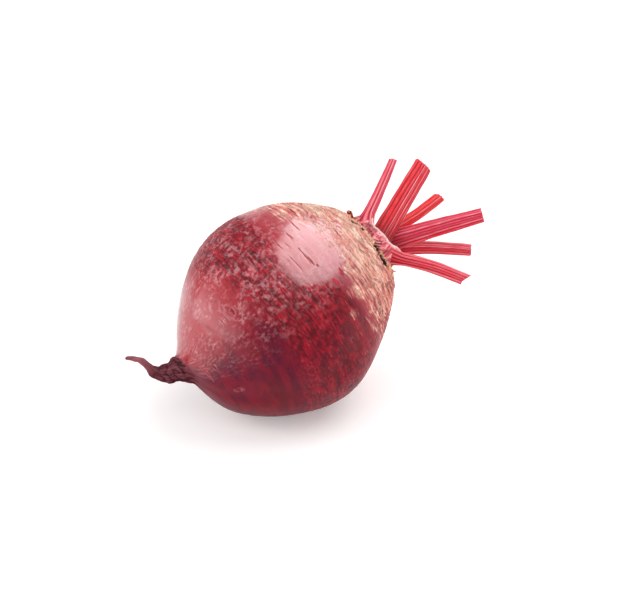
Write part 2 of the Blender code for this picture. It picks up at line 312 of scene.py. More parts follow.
def bumpGroup():
    # Blunt raised spots, longer across y and z than along x
    inputs = {"Place": ("Vector", None), "Size": ("Float", 1.2), "Stretch": ("Float", 2.0), "Cover": ("Float", 0.5)}
    tree, given, out = newGroup("raisedSpots", inputs, {"Height": "Float", "Mask": "Float"})
    long = calc(tree, "MULTIPLY", given["Size"], given["Stretch"])
    place = stretched(tree, given["Place"], given["Size"], long, long)
    cells = put(tree, "TexVoronoi", {"Vector": place, "Scale": 1.0, "Randomness": 0.95})
    dome = remap(tree, cells.outputs["Distance"], 0.08, 0.5, 1.0, 0.0)
    chosen = put(tree, "SeparateColor", {0: cells.outputs["Color"]}).outputs[0]
    kept = calc(tree, "LESS_THAN", chosen, given["Cover"])
    give(tree, out["Height"], calc(tree, "MULTIPLY", dome, kept))
    give(tree, out["Mask"], calc(tree, "MULTIPLY", remap(tree, cells.outputs["Distance"], 0.2, 0.32, 1.0, 0.0), kept))
    return tree


def grainGroup():
    # Fine even grain and a slower mottle over it
    inputs = {"Place": ("Vector", None), "Size": ("Float", 0.4), "Mottle": ("Float", 6.0)}
    tree, given, out = newGroup("fineGrain", inputs, {"Grain": "Float", "Mottle": "Float"})
    small = stretched(tree, given["Place"], given["Size"], given["Size"], given["Size"])
    large = stretched(tree, given["Place"], given["Mottle"], given["Mottle"], given["Mottle"])
    give(tree, out["Grain"], cloud(tree, small, 1.0, 2.0, 0.6))
    give(tree, out["Mottle"], remap(tree, cloud(tree, large, 1.0, 3.0, 0.55), 0.32, 0.68))
    return tree


def slitGroup():
    # One thin slit that runs round the root at a given place
    inputs = {
        "Place": ("Vector", None), "Ragged": ("Float", 0.5), "Middle": ("Vector", None),
        "Half Length": ("Float", 3.0), "Width": ("Float", 0.4),
    }
    tree, given, out = newGroup("slitMark", inputs, {"Mask": "Float", "Lip": "Float"})
    away = put(tree, "VectorMath", {0: given["Place"], 1: given["Middle"]}, operation="SUBTRACT").outputs[0]
    parts = put(tree, "SeparateXYZ", {0: away}).outputs
    off = calc(tree, "ADD", parts[0], calc(tree, "MULTIPLY", calc(tree, "SUBTRACT", given["Ragged"], 0.5), given["Width"]))
    reach = calc(tree, "ADD", calc(tree, "MULTIPLY", parts[1], parts[1]), calc(tree, "MULTIPLY", parts[2], parts[2]))
    along = calc(tree, "DIVIDE", calc(tree, "SQRT", reach), given["Half Length"])
    taper = calc(tree, "SQRT", calc(tree, "MAXIMUM", calc(tree, "SUBTRACT", 1.0, calc(tree, "MULTIPLY", along, along)), 0.0))
    half = calc(tree, "MAXIMUM", calc(tree, "MULTIPLY", given["Width"], taper), 0.02)
    across = calc(tree, "DIVIDE", calc(tree, "ABSOLUTE", off), half)
    within = calc(tree, "LESS_THAN", along, 1.0)
    give(tree, out["Mask"], calc(tree, "MULTIPLY", remap(tree, across, 0.35, 1.0, 1.0, 0.0), within))
    give(tree, out["Lip"], calc(tree, "MULTIPLY", remap(tree, across, 1.0, 2.6, 1.0, 0.0), within))
    return tree


streaks, spots, grain, slit = streakGroup(), bumpGroup(), grainGroup(), slitGroup()


def newMaterial(name, roughness=0.4, specular=0.4):
    material = bpy.data.materials.new(name)
    material.use_nodes = True
    shader = material.node_tree.nodes["Principled BSDF"]
    shader.inputs["Roughness"].default_value = roughness
    shader.inputs["Specular IOR Level"].default_value = specular
    return material, material.node_tree, shader


def bumpInto(tree, shader, height, distance, strength=1.0):
    made = put(tree, "Bump", {"Height": height, "Distance": distance, "Strength": strength})
    tree.links.new(made.outputs["Normal"], shader.inputs["Normal"])


print("node groups ready")

# The root's turned form and its slow unevenness, as the frame has them, in millimetres
rootForm = {
    "radius": 40.8,
    "tail": (46.6, 1.55, 0.52),
    "crown": (44.6, 1.55, 0.485),
    "waist": 11.0,
    "tailJoin": -42.6,
    "rim": 40.9,
    "sides": 352,
    "lumpHeight": 0.7,
    "lumpSize": 21.0,
    # station, bearing, reach along, reach round, height
    "swells": [(-38, 40, 16, 50, -1.9), (22, -140, 18, 50, -1.7), (-22, -125, 18, 40, -0.7), (-14, 180, 14, 30, 0.5)],
    "lobes": (5, 0.6, 160.0),
    "furrows": (82.0, -98.0),
    "furrowDepth": 0.9,
    "furrowWidth": 13.0,
    "scarLobes": (9, 0.8, 39.0),
}

taproot = {
    # station, up, side, radius
    "route": [
        (-42.6, 0.0, 0.0, 15.2),
        (-44.6, 3.9, 1.6, 8.8),
        (-46.6, 6.3, 2.6, 5.9),
        (-49.4, 7.6, 3.0, 4.7),
        (-52.4, 8.8, 3.5, 3.8),
        (-54.9, 11.2, 4.2, 2.4),
        (-55.8, 14.4, 5.5, 1.55),
        (-56.6, 17.4, 7.2, 1.15),
        (-58.6, 19.4, 8.8, 0.95),
        (-60.6, 20.8, 10.0, 0.6),
    ],
    "rings": 72,
    "fullRings": 12,  # these still have as many points as the body's rings
    "turn": (0.33, 0.58),
    "smoothing": 40,  # passes over the join with the body
    "wrinkles": 0.16,
    "creases": 0.55,
}

# The fine relief on the skin, in millimetres
skinDetail = {
    "ringSpacing": {"tail": 0.78, "band": 0.36, "flank": 0.48, "cork": 0.38},
    # the belt's rows of beads: distance between rows, a bead's length and height
    "beadRows": 1.2,
    "beadLength": 1.9,
    "beadHeight": 0.2,
    "corkStep": 0.2,
    "corkCrack": 0.3,
    "crust": 0.75,
    # holes beside the crown's collar: station, bearing, reach along, reach round, depth
    "holes": [
        (39.2, -17, 1.0, 1.3, 2.2),
        (39.8, -31, 0.6, 0.8, 1.2),
        (39.9, -62, 0.9, 1.9, 1.8),
        (39.0, -79, 1.0, 2.3, 2.6),
        (39.4, 52, 0.8, 1.6, 1.6),
        (39.4, 118, 0.8, 1.2, 1.4),
        (39.2, 172, 0.9, 2.0, 1.8),
        (39.4, -138, 0.8, 1.5, 1.6),
    ],
    # slits seen on the near side: station, bearing at both ends, half width, paint (0 dark, 1 red)
    "slits": [
        (11.2, -28.5, -42.5, 0.75, 0.35),
        (12.4, -41.8, -44.2, 0.75, 0.3),
        (12.0, -15.5, -22.5, 0.63, 0.6),
        (16.9, -8.0, -18.5, 0.42, 0.6),
        (6.4, -29.0, -41.5, 0.33, 0.6),
        (6.3, -15.5, -25.0, 0.3, 0.8),
        (8.8, -20.0, -27.0, 0.27, 0.8),
        (18.4, -51.0, -56.5, 0.9, 0.7),
        (14.0, -53.5, -60.0, 1.12, 1.0),
        (28.2, -27.0, -35.0, 0.36, 0.5),
        (-5.6, -14.0, -23.5, 1.05, 0.0),
        (-3.8, -17.0, -20.0, 0.75, 0.0),
        (-22.0, -29.0, -34.0, 0.83, 0.1),
        (-27.0, -27.5, -35.0, 0.33, 0.3),
        (-25.4, -29.0, -33.0, 0.3, 0.3),
        (-41.6, -43.0, -71.0, 0.45, 0.7),
        (-38.5, -49.5, -60.0, 0.54, 0.1),
        (-36.2, -83.0, -90.0, 1.05, 0.2),
        (-16.4, 14.5, 22.0, 1.2, 0.1),
        (21.3, 8.0, -6.0, 0.38, 0.7),
    ],
    # short dents pressed into the shape anywhere: how many, and their longest length and depth
    "looseScars": 110,
    "scarLength": 4.5,
    "scarDepth": 0.16,
}


def halfAt(station, half, power, roundness):
    reach = math.hypot(half, rootForm["waist"])
    fall = 1 - (np.hypot(station, rootForm["waist"]) / reach) ** power
    return rootForm["radius"] * (fall / (1 - (rootForm["waist"] / reach) ** power)) ** roundness


def radiusAt(station):
    return halfAt(station, *(rootForm["tail"] if station < 0 else rootForm["crown"]))


def slowRelief(station, turns, points):
    height = rootForm["lumpHeight"] * noiseAt(points, rootForm["lumpSize"])
    for middle, facing, along, around, rise in rootForm["swells"]:
        away = angleBetween(turns, math.radians(facing)) / math.radians(around)
        height = height + rise * np.exp(-(((station - middle) / along) ** 2) - away * away)
    shoulder = smoothStep(station, 16, 38)
    count, rise, phase = rootForm["lobes"]
    height = height + rise * shoulder * np.cos(count * turns + math.radians(phase))
    for middle in rootForm["furrows"]:
        away = angleBetween(turns, math.radians(middle) + 0.12 * math.sin(station / 9))
        fall = np.exp(-((away / math.radians(rootForm["furrowWidth"])) ** 2))
        height = height - rootForm["furrowDepth"] * fall * (1 - shoulder)
    count, rise, middle = rootForm["scarLobes"]
    band = math.exp(-(((station - middle) / 1.7) ** 2))
    return height + rise * band * (0.5 + 0.5 * np.cos(count * turns)) ** 2


def skinLengths():
    # Stations, and the length along the skin to each from the widest ring
    fine = np.arange(rootForm["tailJoin"], rootForm["rim"], 0.02)
    radii = np.array([radiusAt(s) for s in fine])
    along = np.concatenate([[0], np.cumsum(np.hypot(np.diff(fine), np.diff(radii)))])
    return fine, along - np.interp(0.0, fine, along)


def bodyStations():
    # Even steps along the skin, closer together where it is rougher
    fine, along = skinLengths()
    gaps = skinDetail["ringSpacing"]
    places = [-42.6, -24, -19, 5, 9, 20, 25, 41]
    steps = [gaps["tail"], gaps["tail"], gaps["band"], gaps["band"], gaps["flank"], gaps["flank"], gaps["cork"], gaps["cork"]]
    chosen, here = [], along[0]
    while here < along[-1]:
        station = np.interp(here, along, fine)
        chosen.append((station, here))
        here += np.interp(station, places, steps)
    return chosen


def corkEdge(turns):
    # The station where the cork begins: it draws back on the near shoulder and runs down over the top
    near = np.exp(-((angleBetween(turns, math.radians(-28)) / math.radians(24)) ** 2))
    top = np.exp(-((angleBetween(turns, math.radians(22)) / math.radians(22)) ** 2))
    return 18.5 + 8.0 * near - 6.0 * top - 2.5 * np.cos(2 * turns + 1.0)


def wetBand(station, turns):
    # The rough red belt round the widest part, wider under the near shoulder
    facing = np.degrees(angleBetween(turns, 0.0))
    below = smoothStep(-facing, 44, 58) * (1 - smoothStep(-facing, 110, 150))
    upper = 5.5 - 3.5 * smoothStep(-facing, 10, 34) + 14.0 * below + 1.5 * np.sin(3 * turns)
    lower = -17.0 - 3.0 * np.sin(2 * turns + 0.5)
    hidden = 1 - 0.4 * smoothStep(-facing, 62, 90) - 0.3 * smoothStep(facing, 60, 100)
    return hidden * smoothStep(station, lower - 4, lower + 4) * (1 - smoothStep(station, upper - 2.5, upper + 2.5))


def beadsAt(place):
    # Short raised beads, end to end in rows that run round the root
    x = place[:, 0] + 1.3 * noiseAt(place, (13, 11, 11), 3.1) + 0.35 * noiseAt(place, (3.5, 5, 5), 6.2)
    row = np.floor(x / skinDetail["beadRows"])
    share = x / skinDetail["beadRows"] - row
    long = skinDetail["beadLength"]
    chain = noiseAt(np.stack([row * 7.31, place[:, 1] / long, place[:, 2] / long], axis=1), 1.0)
    return np.sin(np.pi * share) * smoothStep(chain, -0.32, 0.3)


def holesAt(station, turns):
    depth = np.zeros_like(turns)
    for middle, facing, along, around, deep in skinDetail["holes"]:
        across = angleBetween(turns, math.radians(facing)) * 13.5 / around
        ragged = 1 + 0.35 * np.sin(turns * 61 + middle) + 0.2 * np.sin(turns * 97)
        share = ((station - middle) / along) ** 2 + across * across
        depth = np.maximum(depth, deep * np.exp(-((share * ragged) ** 1.6)))
    return depth


def scarDents(station, turns):
    # Short shallow dents that run round the root
    draw = random.Random(23)
    depth = np.zeros_like(turns)
    for _ in range(skinDetail["looseScars"]):
        middle, facing = draw.uniform(-38, 24), draw.uniform(-180, 180)
        length, deep = draw.uniform(1.2, skinDetail["scarLength"]), draw.uniform(0.3, 1.0) * skinDetail["scarDepth"]
        across = angleBetween(turns, math.radians(facing)) * radiusAt(middle)
        reach = np.clip(1 - (across / (length / 2 + 0.6)) ** 2, 0, 1)
        off = (station - middle) / 0.5
        depth = np.maximum(depth, deep * reach * np.exp(-off * off))
    return depth


def rootRelief(points, values):
    # Fine relief, pushed out along the skin's own normals
    place, station, turns = values["place"], values["station"], values["turn"]
    wet, cork = values["wetField"], smoothStep(values["corkField"], -1.0, 3.5)
    body = values["bodyShare"]
    streaky = noiseAt(place, (1.6, 11, 11), 9.7)
    rough = wet * (skinDetail["beadHeight"] * values["bead"] + 0.1 * streaky)
    calm = 0.06 * noiseAt(place, (3.5, 8, 8), 5.0)
    wander = 1.3 * noiseAt(place, (9, 7, 7), 7.7) + 0.5 * noiseAt(place, (3, 2.5, 2.5), 2.2)
    saw = ((place[:, 0] + wander) / 1.35) % 1.0
    steps = skinDetail["corkStep"] * saw**1.6
    first, second = cellsAt(place, (2.6, 6.0, 6.0), 4.1)
    cracks = -skinDetail["corkCrack"] * (1 - smoothStep(second - first, 0.0, 0.16))
    crustShare = smoothStep(station, 36.5, 40.0)
    crust = crustShare * skinDetail["crust"] * (noiseAt(place, (1.6, 1.9, 1.9), 8.0) + 0.5 * noiseAt(place, (0.8, 0.9, 0.9), 3.0))
    height = (1 - cork) * (rough + calm) + cork * (steps + cracks + 0.1 * noiseAt(place, 2.0, 1.0) + crust)
    return body * height - values["scar"] + values["crease"] - values["hole"]


def buildRoot(material, inner):
    skin = RingSkin()
    sides = rootForm["sides"]
    stations = bodyStations()

    def ringValues(station, along, turns, bodyShare, rootShare=0.0, crease=0.0):
        size = len(turns)
        around = rootForm["radius"]
        place = np.stack([np.full(size, along), around * np.cos(turns), around * np.sin(turns)], axis=1)
        return {
            "place": place,
            "station": np.full(size, station),
            "turn": turns,
            "corkField": station - corkEdge(turns) if bodyShare > 0 else np.full(size, -30.0),
            "wetField": wetBand(station, turns) if bodyShare > 0 else np.zeros(size),
            "bodyShare": np.full(size, float(bodyShare)),
            "rootShare": np.full(size, rootShare),
            "hole": holesAt(station, turns) if bodyShare > 0 else np.zeros(size),
            "bead": beadsAt(place) if bodyShare > 0 and abs(station) < 26 else np.zeros(size),
            "scar": scarDents(station, turns) if bodyShare > 0 else np.zeros(size),
            "crease": np.broadcast_to(crease, size).astype(float),
        }

    # The taproot's rings, from where it joins to its tip
    axis, upright, sideways = np.array([1.0, 0, 0]), np.array([0, 0, 1.0]), np.array([0, 1.0, 0])
    up = upright
    rows = []
    route = taproot["route"]
    for k in range(1, taproot["rings"] + 1):
        share = k / taproot["rings"]
        count = sides if k <= taproot["fullRings"] else sides // 2
        turns = np.arange(count) * tau / count
        station, high, aside, radius = catmull(route, share)
        centre = np.array([station, aside, high])
        ahead = catmull(route, min(1.0, share + 0.01))
        behind = catmull(route, max(0.0, share - 0.01))
        way = (behind - ahead)[[0, 2, 1]]
        turnShare = smoothStep(share, *taproot["turn"])
        way = axis * (1 - turnShare) + way / np.linalg.norm(way) * turnShare
        way /= np.linalg.norm(way)
        up = up - way * up.dot(way)
        up /= np.linalg.norm(up)
        side = np.cross(up, way)
        plain = ringOf(centre, up, side, np.full(count, radius))
        skinHeight = (1 - smoothStep(share, 0.0, 0.22)) * slowRelief(rootForm["tailJoin"], turns, plain)
        folds = 0.6 * np.cos(3 * turns + 5.5 * share) + 0.4 * np.cos(5 * turns - 3.0 * share)
        shrunk = 0.5 * np.sin(34 * share + 1.3 * np.sin(turns))
        wrinkle = taproot["wrinkles"] * radius * (folds + shrunk) * smoothStep(share, 0.05, 0.3)
        place = np.stack([np.full(count, 30 * share), 6 * np.cos(turns), 6 * np.sin(turns)], axis=1)
        creased = 1 - np.minimum(1, np.abs(noiseAt(place, (2.6, 5.0, 5.0), 6.0)) * 3.0)
        fine = 1 - np.minimum(1, np.abs(noiseAt(place, (0.9, 3.0, 3.0), 2.0)) * 3.0)
        weight = smoothStep(share, 0.05, 0.2) * min(1.0, radius / 3.5)
        crease = -taproot["creases"] * weight * (creased**2 + 0.35 * fine)
        ring = ringOf(centre, up, side, radius + skinHeight + wrinkle)
        rootShare = float(smoothStep(share, 0.05, 0.2))
        values = ringValues(rootForm["tailJoin"], stations[0][1] - 12 * share, turns, 0.0, rootShare, crease)
        rows.append([ring, {**values, "tipShare": np.full(count, float(smoothStep(share, 0.55, 0.8)))}])
    rows.reverse()

    # The swollen part
    join = len(rows)
    turns = np.arange(sides) * tau / sides
    for station, along in stations:
        plain = ringOf(axis * station, upright, sideways, np.full(sides, radiusAt(station)))
        rise = slowRelief(station, turns, plain)
        ring = ringOf(axis * station, upright, sideways, radiusAt(station) + rise)
        fadeIn = float(smoothStep(station, rootForm["tailJoin"], rootForm["tailJoin"] + 3))
        values = ringValues(station, along, turns, max(fadeIn, 0.001))
        rows.append([ring, {**values, "tipShare": np.zeros(sides)}])
    for _ in range(taproot["smoothing"]):
        for i in range(join - taproot["fullRings"] + 2, join + 8):
            weight = 0.25 * (1 - abs(i - join) / (taproot["fullRings"] + 1))
            rows[i][0] = rows[i][0] * (1 - 2 * weight) + (rows[i - 1][0] + rows[i + 1][0]) * weight
    for ring, values in rows:
        skin.add(ring, **values)

    # Over the crust's edge and in under the crown's collar
    for station, radius, share in ((40.9, 13.0, 0.8), (40.2, 12.4, 0.3), (39.4, 11.4, 0.1), (38.8, 8.0, 0.0)):
        ragged = 0.5 * noiseAt(np.stack([np.cos(turns) * 9, np.sin(turns) * 9, turns * 0], axis=1), 1.0) * share
        ring = ringOf(axis * station, upright, sideways, radius + ragged)
        values = ringValues(41.0, stations[-1][1] + 1.5, turns, share + 0.001)
        # Rings in under the collar take the crown's material, painted dark there as shade
        skin.add(ring, mark=1 if share < 0.5 else 0, tipShare=np.zeros(sides), **values)
    skin.close((38.6, 0, 0), mark=1)
    tip = np.array(taproot["route"][-1])
    skin.close((tip[0] - 0.3, tip[2], tip[1] + 0.3), atStart=True)
    return skin.finish("rootSkin", [material, inner], relief=rootRelief)


def flattenSeat(piece):
    # The belly rests flat on the floor
    mesh = piece.data
    points = np.zeros(len(mesh.vertices) * 3, np.float32)
    mesh.vertices.foreach_get("co", points)
    points = points.reshape(-1, 3)
    points[:, 2] = np.maximum(points[:, 2], 0.0)
    mesh.vertices.foreach_set("co", points.ravel())
    mesh.update()


# Fine hairs on the taproot
hairs = {
    # where along the taproot (0 to 1), the turn round it, length, and the way it hangs (station, side, up)
    "near": [
        (0.36, 140, 4.6, (-0.8, -0.5, -0.9)),
        (0.3, 150, 3.2, (-0.3, -0.2, -1.0)),
        (0.42, 170, 2.6, (-0.9, 0.2, -0.6)),
        (0.24, 190, 2.4, (0.1, -0.4, -1.0)),
        (0.5, 120, 2.2, (-0.7, -0.6, -0.4)),
    ],
    "loose": 26,
    "radius": 0.17,
    "tint": (0.34, 0.09, 0.1),
}


def buildHairs(material):
    skin = RingSkin()
    draw = random.Random(8)
    rows = list(hairs["near"])
    for _ in range(hairs["loose"]):
        way = (draw.uniform(-1, 0.3), draw.uniform(-1, 1), draw.uniform(-1, 0.7))
        rows.append((draw.uniform(0.2, 0.95), draw.uniform(0, 360), draw.uniform(0.8, 2.4), way))
    for share, facing, length, way in rows:
        station, high, aside, radius = catmull(taproot["route"], share)
        outward = onRing(0, 1, facing)
        start = np.array([station, aside, high]) + outward * radius * 0.7
        way = np.array(way) / np.linalg.norm(way)
        wave = np.cross(way, outward)
        path, radii = [], []
        for i in range(9):
            t = i / 8
            turned = outward * (1 - t) + way * t
            path.append(start + turned * length * t + wave * 0.3 * math.sin(5 * t + facing))
            radii.append(hairs["radius"] * (1.25 - t) * min(1.0, 0.4 + length / 4))
        addStrand(skin, path, radii, sides=5)
    return skin.finish("rootHairs", [material])


def hairMaterial():
    material, tree, shader = newMaterial("rootHair", specular=0.2)
    motes = useGroup(tree, grain, {"Place": carried(tree, "place", "Vector"), "Size": 0.3, "Mottle": 1.5})
    tint = hairs["tint"]
    give(tree, shader.inputs["Base Color"], blend(tree, motes["Mottle"], tint, tuple(t * 0.45 for t in tint)))
    give(tree, shader.inputs["Roughness"], remap(tree, motes["Grain"], 0.2, 0.8, 0.5, 0.75))
    bumpInto(tree, shader, motes["Grain"], 0.0001)
    return material


# Colours are linear
skinColours = {
    "deep": (0.055, 0.002, 0.007),
    "maroon": (0.125, 0.004, 0.012),
    "red": (0.4, 0.006, 0.018),
    "bright": (0.62, 0.014, 0.035),
    "slitRed": (0.2, 0.003, 0.012),
    "purple": (0.095, 0.004, 0.022),
    "paleSkin": (0.56, 0.1, 0.12),
    # pale dry scuffs, partly painted sheen
    "scuffAndSheen": (0.55, 0.25, 0.27),
    "tan": (0.86, 0.42, 0.3),
    "beige": (0.97, 0.56, 0.44),
    "cream": (1.0, 0.78, 0.62),
    "blush": (0.76, 0.19, 0.17),
    "orange": (0.85, 0.4, 0.1),
    "rust": (0.5, 0.1, 0.09),
    "umber": (0.22, 0.05, 0.045),
    "greyRoot": (0.27, 0.085, 0.11),
    "pinkRoot": (0.5, 0.14, 0.17),
    # near black for the holes beside the collar: painted shade
    "holeShade": (0.02, 0.001, 0.001),
}


def skinMaterial():
    material, tree, shader = newMaterial("beetSkin", specular=0.1)
    c = skinColours
    place = carried(tree, "place", "Vector")
    upward = put(tree, "SeparateXYZ", {0: place}).outputs[1]
    cork, wet = carried(tree, "corkField"), carried(tree, "wetField")
    bead, station = carried(tree, "bead"), carried(tree, "station")
    scar, rootShare, crease = carried(tree, "scar"), carried(tree, "rootShare"), carried(tree, "crease")
    sweeps = useGroup(tree, streaks, {"Place": place, "Spacing": 3.2, "Length": 17.0, "Wander": 3.0})
    dashes = useGroup(tree, streaks, {"Place": place, "Spacing": 1.2, "Length": 9.0, "Wander": 2.0})
    threads = useGroup(tree, streaks, {"Place": place, "Spacing": 0.6, "Length": 4.0, "Wander": 1.5})
    corky = useGroup(tree, streaks, {"Place": place, "Spacing": 1.0, "Length": 9.0, "Wander": 4.0})
    furrows = useGroup(tree, streaks, {"Place": place, "Spacing": 2.4, "Length": 13.0, "Wander": 5.0})
    glints = useGroup(tree, spots, {"Place": place, "Size": 1.3, "Stretch": 2.0, "Cover": 0.75})
    pits = useGroup(tree, spots, {"Place": place, "Size": 1.5, "Stretch": 1.5, "Cover": 0.1})
    motes = useGroup(tree, grain, {"Place": place, "Size": 0.35, "Mottle": 5.0})
    big = useGroup(tree, grain, {"Place": place, "Size": 1.6, "Mottle": 22.0})

    # Slits: dark or red lines, each between two bearings
    stations, lengths = skinLengths()
    cuts, redCuts, lips = 0.0, 0.0, 0.0
    for slitStation, start, end, half, redness in skinDetail["slits"]:
        middle, reach = math.radians((start + end) / 2), abs(math.radians(start - end)) / 2
        around = rootForm["radius"]
        inputs = {
            "Place": place, "Ragged": threads["Streaks"], "Half Length": 2 * around * math.sin(reach / 2), "Width": half,
            "Middle": (np.interp(slitStation, stations, lengths), around * math.cos(middle), around * math.sin(middle)),
        }
        made = useGroup(tree, slit, inputs)
        cuts = calc(tree, "MAXIMUM", cuts, made["Mask"])
        redCuts = calc(tree, "MAXIMUM", redCuts, calc(tree, "MULTIPLY", made["Mask"], redness))
        lips = calc(tree, "MAXIMUM", lips, made["Lip"])

    # Smooth skin: maroon and purple in slow patches, redder above
    high = remap(tree, upward, 20.0, 41.0)
    smooth = blend(tree, calc(tree, "MULTIPLY", big["Mottle"], calc(tree, "SUBTRACT", 1.0, high)), c["maroon"], c["purple"])
    smooth = blend(tree, calc(tree, "MULTIPLY", high, 0.75), smooth, c["red"])
    smooth = blend(tree, calc(tree, "MULTIPLY", sweeps["Streaks"], 0.3), smooth, c["red"])
    smooth = blend(tree, calc(tree, "MULTIPLY", remap(tree, cork, -20.0, 0.0), 0.55), smooth, c["paleSkin"])
    smooth = blend(tree, calc(tree, "MULTIPLY", threads["Streaks"], 0.12), smooth, c["deep"])
    # The rough belt: bright red dashes between dark ones
    belt = blend(tree, dashes["Streaks"], c["red"], c["maroon"])
    belt = blend(tree, calc(tree, "MULTIPLY", calc(tree, "MULTIPLY", sweeps["Streaks"], motes["Mottle"]), 0.6), belt, c["bright"])
    belt = blend(tree, calc(tree, "MULTIPLY", threads["Streaks"], 0.4), belt, c["deep"])
    # Darker in the gaps between the beads: partly the skin's own dark pits, partly painted shade
    belt = blend(tree, remap(tree, bead, 0.0, 0.4, 0.6, 0.0), belt, c["deep"])
    colour = blend(tree, wet, smooth, belt)
    # Pale dry scuffs, mostly on the upper side, partly painted sheen that stands in for the pale surroundings reflected
    # in rough skin
    upper = remap(tree, upward, 8.0, 38.0)
    scuffAndSheenMask = calc(tree, "MULTIPLY", remap(tree, big["Grain"], 0.42, 0.66), calc(tree, "MULTIPLY", upper, motes["Mottle"]))
    colour = blend(tree, calc(tree, "MULTIPLY", scuffAndSheenMask, 0.75), colour, c["scuffAndSheen"])
    colour = blend(tree, calc(tree, "MULTIPLY", pits["Mask"], 0.55), colour, c["deep"])
    # Cork: blush where it begins, then tan and cream lines, with dark ones among them
    tone = ramp(tree, corky["Streaks"], [(0.0, c["blush"]), (0.25, c["tan"]), (0.6, c["beige"]), (1.0, c["cream"])])
    early = calc(tree, "SUBTRACT", 1.0, remap(tree, cork, -2.0, 12.0, 0.15, 0.95))
    low = remap(tree, upward, 24.0, -4.0, 0.0, 0.75)
    patchy = remap(tree, big["Grain"], 0.35, 0.6)
    tone = blend(tree, calc(tree, "MULTIPLY", calc(tree, "MAXIMUM", early, low), patchy), tone, c["blush"])
    tone = blend(tree, calc(tree, "MULTIPLY", furrows["Lines"], calc(tree, "MULTIPLY_ADD", low, 0.6, 0.4)), tone, c["umber"])
    tone = blend(tree, calc(tree, "MULTIPLY", corky["Lines"], 0.4), tone, c["rust"])
    rim = remap(tree, station, 37.0, 40.5)
    tone = blend(tree, calc(tree, "MULTIPLY", calc(tree, "MULTIPLY", rim, motes["Mottle"]), 0.5), tone, c["orange"])
    ragged = calc(tree, "MULTIPLY", calc(tree, "SUBTRACT", sweeps["Streaks"], 0.5), 6.0)
    ragged = calc(tree, "MULTIPLY_ADD", calc(tree, "SUBTRACT", corky["Streaks"], 0.5), 8.0, ragged)
    ragged = calc(tree, "MULTIPLY_ADD", calc(tree, "SUBTRACT", motes["Mottle"], 0.5), 7.0, ragged)
    corkShare = remap(tree, calc(tree, "ADD", cork, ragged), -3.0, 6.5)
    colour = blend(tree, corkShare, colour, tone)
    # The taproot is greyer, and pink towards its tip
    rootTone = blend(tree, motes["Mottle"], c["greyRoot"], c["maroon"])
    rootTone = blend(tree, carried(tree, "tipShare"), rootTone, c["pinkRoot"])
    colour = blend(tree, rootShare, colour, rootTone)
    # Darker in the taproot's creases: painted shade
    colour = blend(tree, remap(tree, crease, -0.5, -0.1, 0.75, 0.0), colour, c["deep"])
    colour = blend(tree, remap(tree, scar, 0.04, 0.16, 0.0, 0.6), colour, c["deep"])
    # Pale lips beside the slits in the scuff colour, partly painted sheen
    colour = blend(tree, calc(tree, "MULTIPLY", lips, 0.25), colour, c["scuffAndSheen"])
    colour = blend(tree, cuts, colour, c["slitRed"])
    colour = blend(tree, calc(tree, "MULTIPLY", redCuts, 0.8), colour, c["bright"])
    # Near black inside the holes beside the collar: painted shade
    colour = blend(tree, remap(tree, carried(tree, "hole"), 0.15, 0.9), colour, c["holeShade"])
    give(tree, shader.inputs["Base Color"], colour)

    dry = calc(tree, "MAXIMUM", corkShare, rootShare)
    rough = calc(tree, "MULTIPLY_ADD", dry, 0.22, 0.46)
    give(tree, shader.inputs["Roughness"], calc(tree, "MULTIPLY_ADD", calc(tree, "SUBTRACT", motes["Grain"], 0.5), 0.15, rough))

    # A thin glossy skin: whole where it is smooth, broken into glints on the belt, none on the cork
    smoothFilm = calc(tree, "MULTIPLY_ADD", calc(tree, "MULTIPLY", dashes["Streaks"], remap(tree, station, -6.0, 6.0)), -0.25, 1.0)
    smoothFilm = calc(tree, "MULTIPLY", smoothFilm, remap(tree, upward, 12.0, 38.0, 0.06, 1.0))
    nearBelt = calc(tree, "MULTIPLY", remap(tree, station, -31.0, -20.0), remap(tree, station, -2.0, 6.0, 1.0, 0.0))
    smoothFilm = calc(tree, "MULTIPLY", smoothFilm, calc(tree, "MULTIPLY_ADD", nearBelt, -0.75, 1.0))
    brokenFilm = calc(tree, "MULTIPLY_ADD", glints["Mask"], remap(tree, bead, 0.1, 0.7, 0.35, 1.0), 0.02)
    film = calc(tree, "ADD", smoothFilm, calc(tree, "MULTIPLY", calc(tree, "SUBTRACT", brokenFilm, smoothFilm), wet))
    film = calc(tree, "MULTIPLY", film, calc(tree, "MULTIPLY_ADD", scuffAndSheenMask, -0.5, 1.0))
    film = calc(tree, "MULTIPLY", film, calc(tree, "SUBTRACT", 1.0, calc(tree, "MAXIMUM", calc(tree, "MULTIPLY", dry, 0.93), cuts)))
    give(tree, shader.inputs["Coat Weight"], film)
    shader.inputs["Coat Roughness"].default_value = 0.17

    relief = calc(tree, "MULTIPLY", calc(tree, "ADD", dashes["Streaks"], calc(tree, "MULTIPLY", threads["Streaks"], 0.5)), 0.8)
    relief = calc(tree, "MULTIPLY", relief, -1.0)
    relief = calc(tree, "MULTIPLY", relief, calc(tree, "MULTIPLY_ADD", wet, 0.86, 0.14))
    corkRelief = calc(tree, "MULTIPLY_ADD", corky["Lines"], -1.0, calc(tree, "MULTIPLY", corky["Streaks"], 0.8))
    corkRelief = calc(tree, "MULTIPLY_ADD", motes["Grain"], 0.6, corkRelief)
    relief = calc(tree, "MULTIPLY_ADD", corkRelief, dry, relief)
    relief = calc(tree, "MULTIPLY_ADD", motes["Grain"], 0.06, relief)
    relief = calc(tree, "MULTIPLY_ADD", cuts, -1.2, relief)
    bumpInto(tree, shader, relief, 0.0003)
    return material


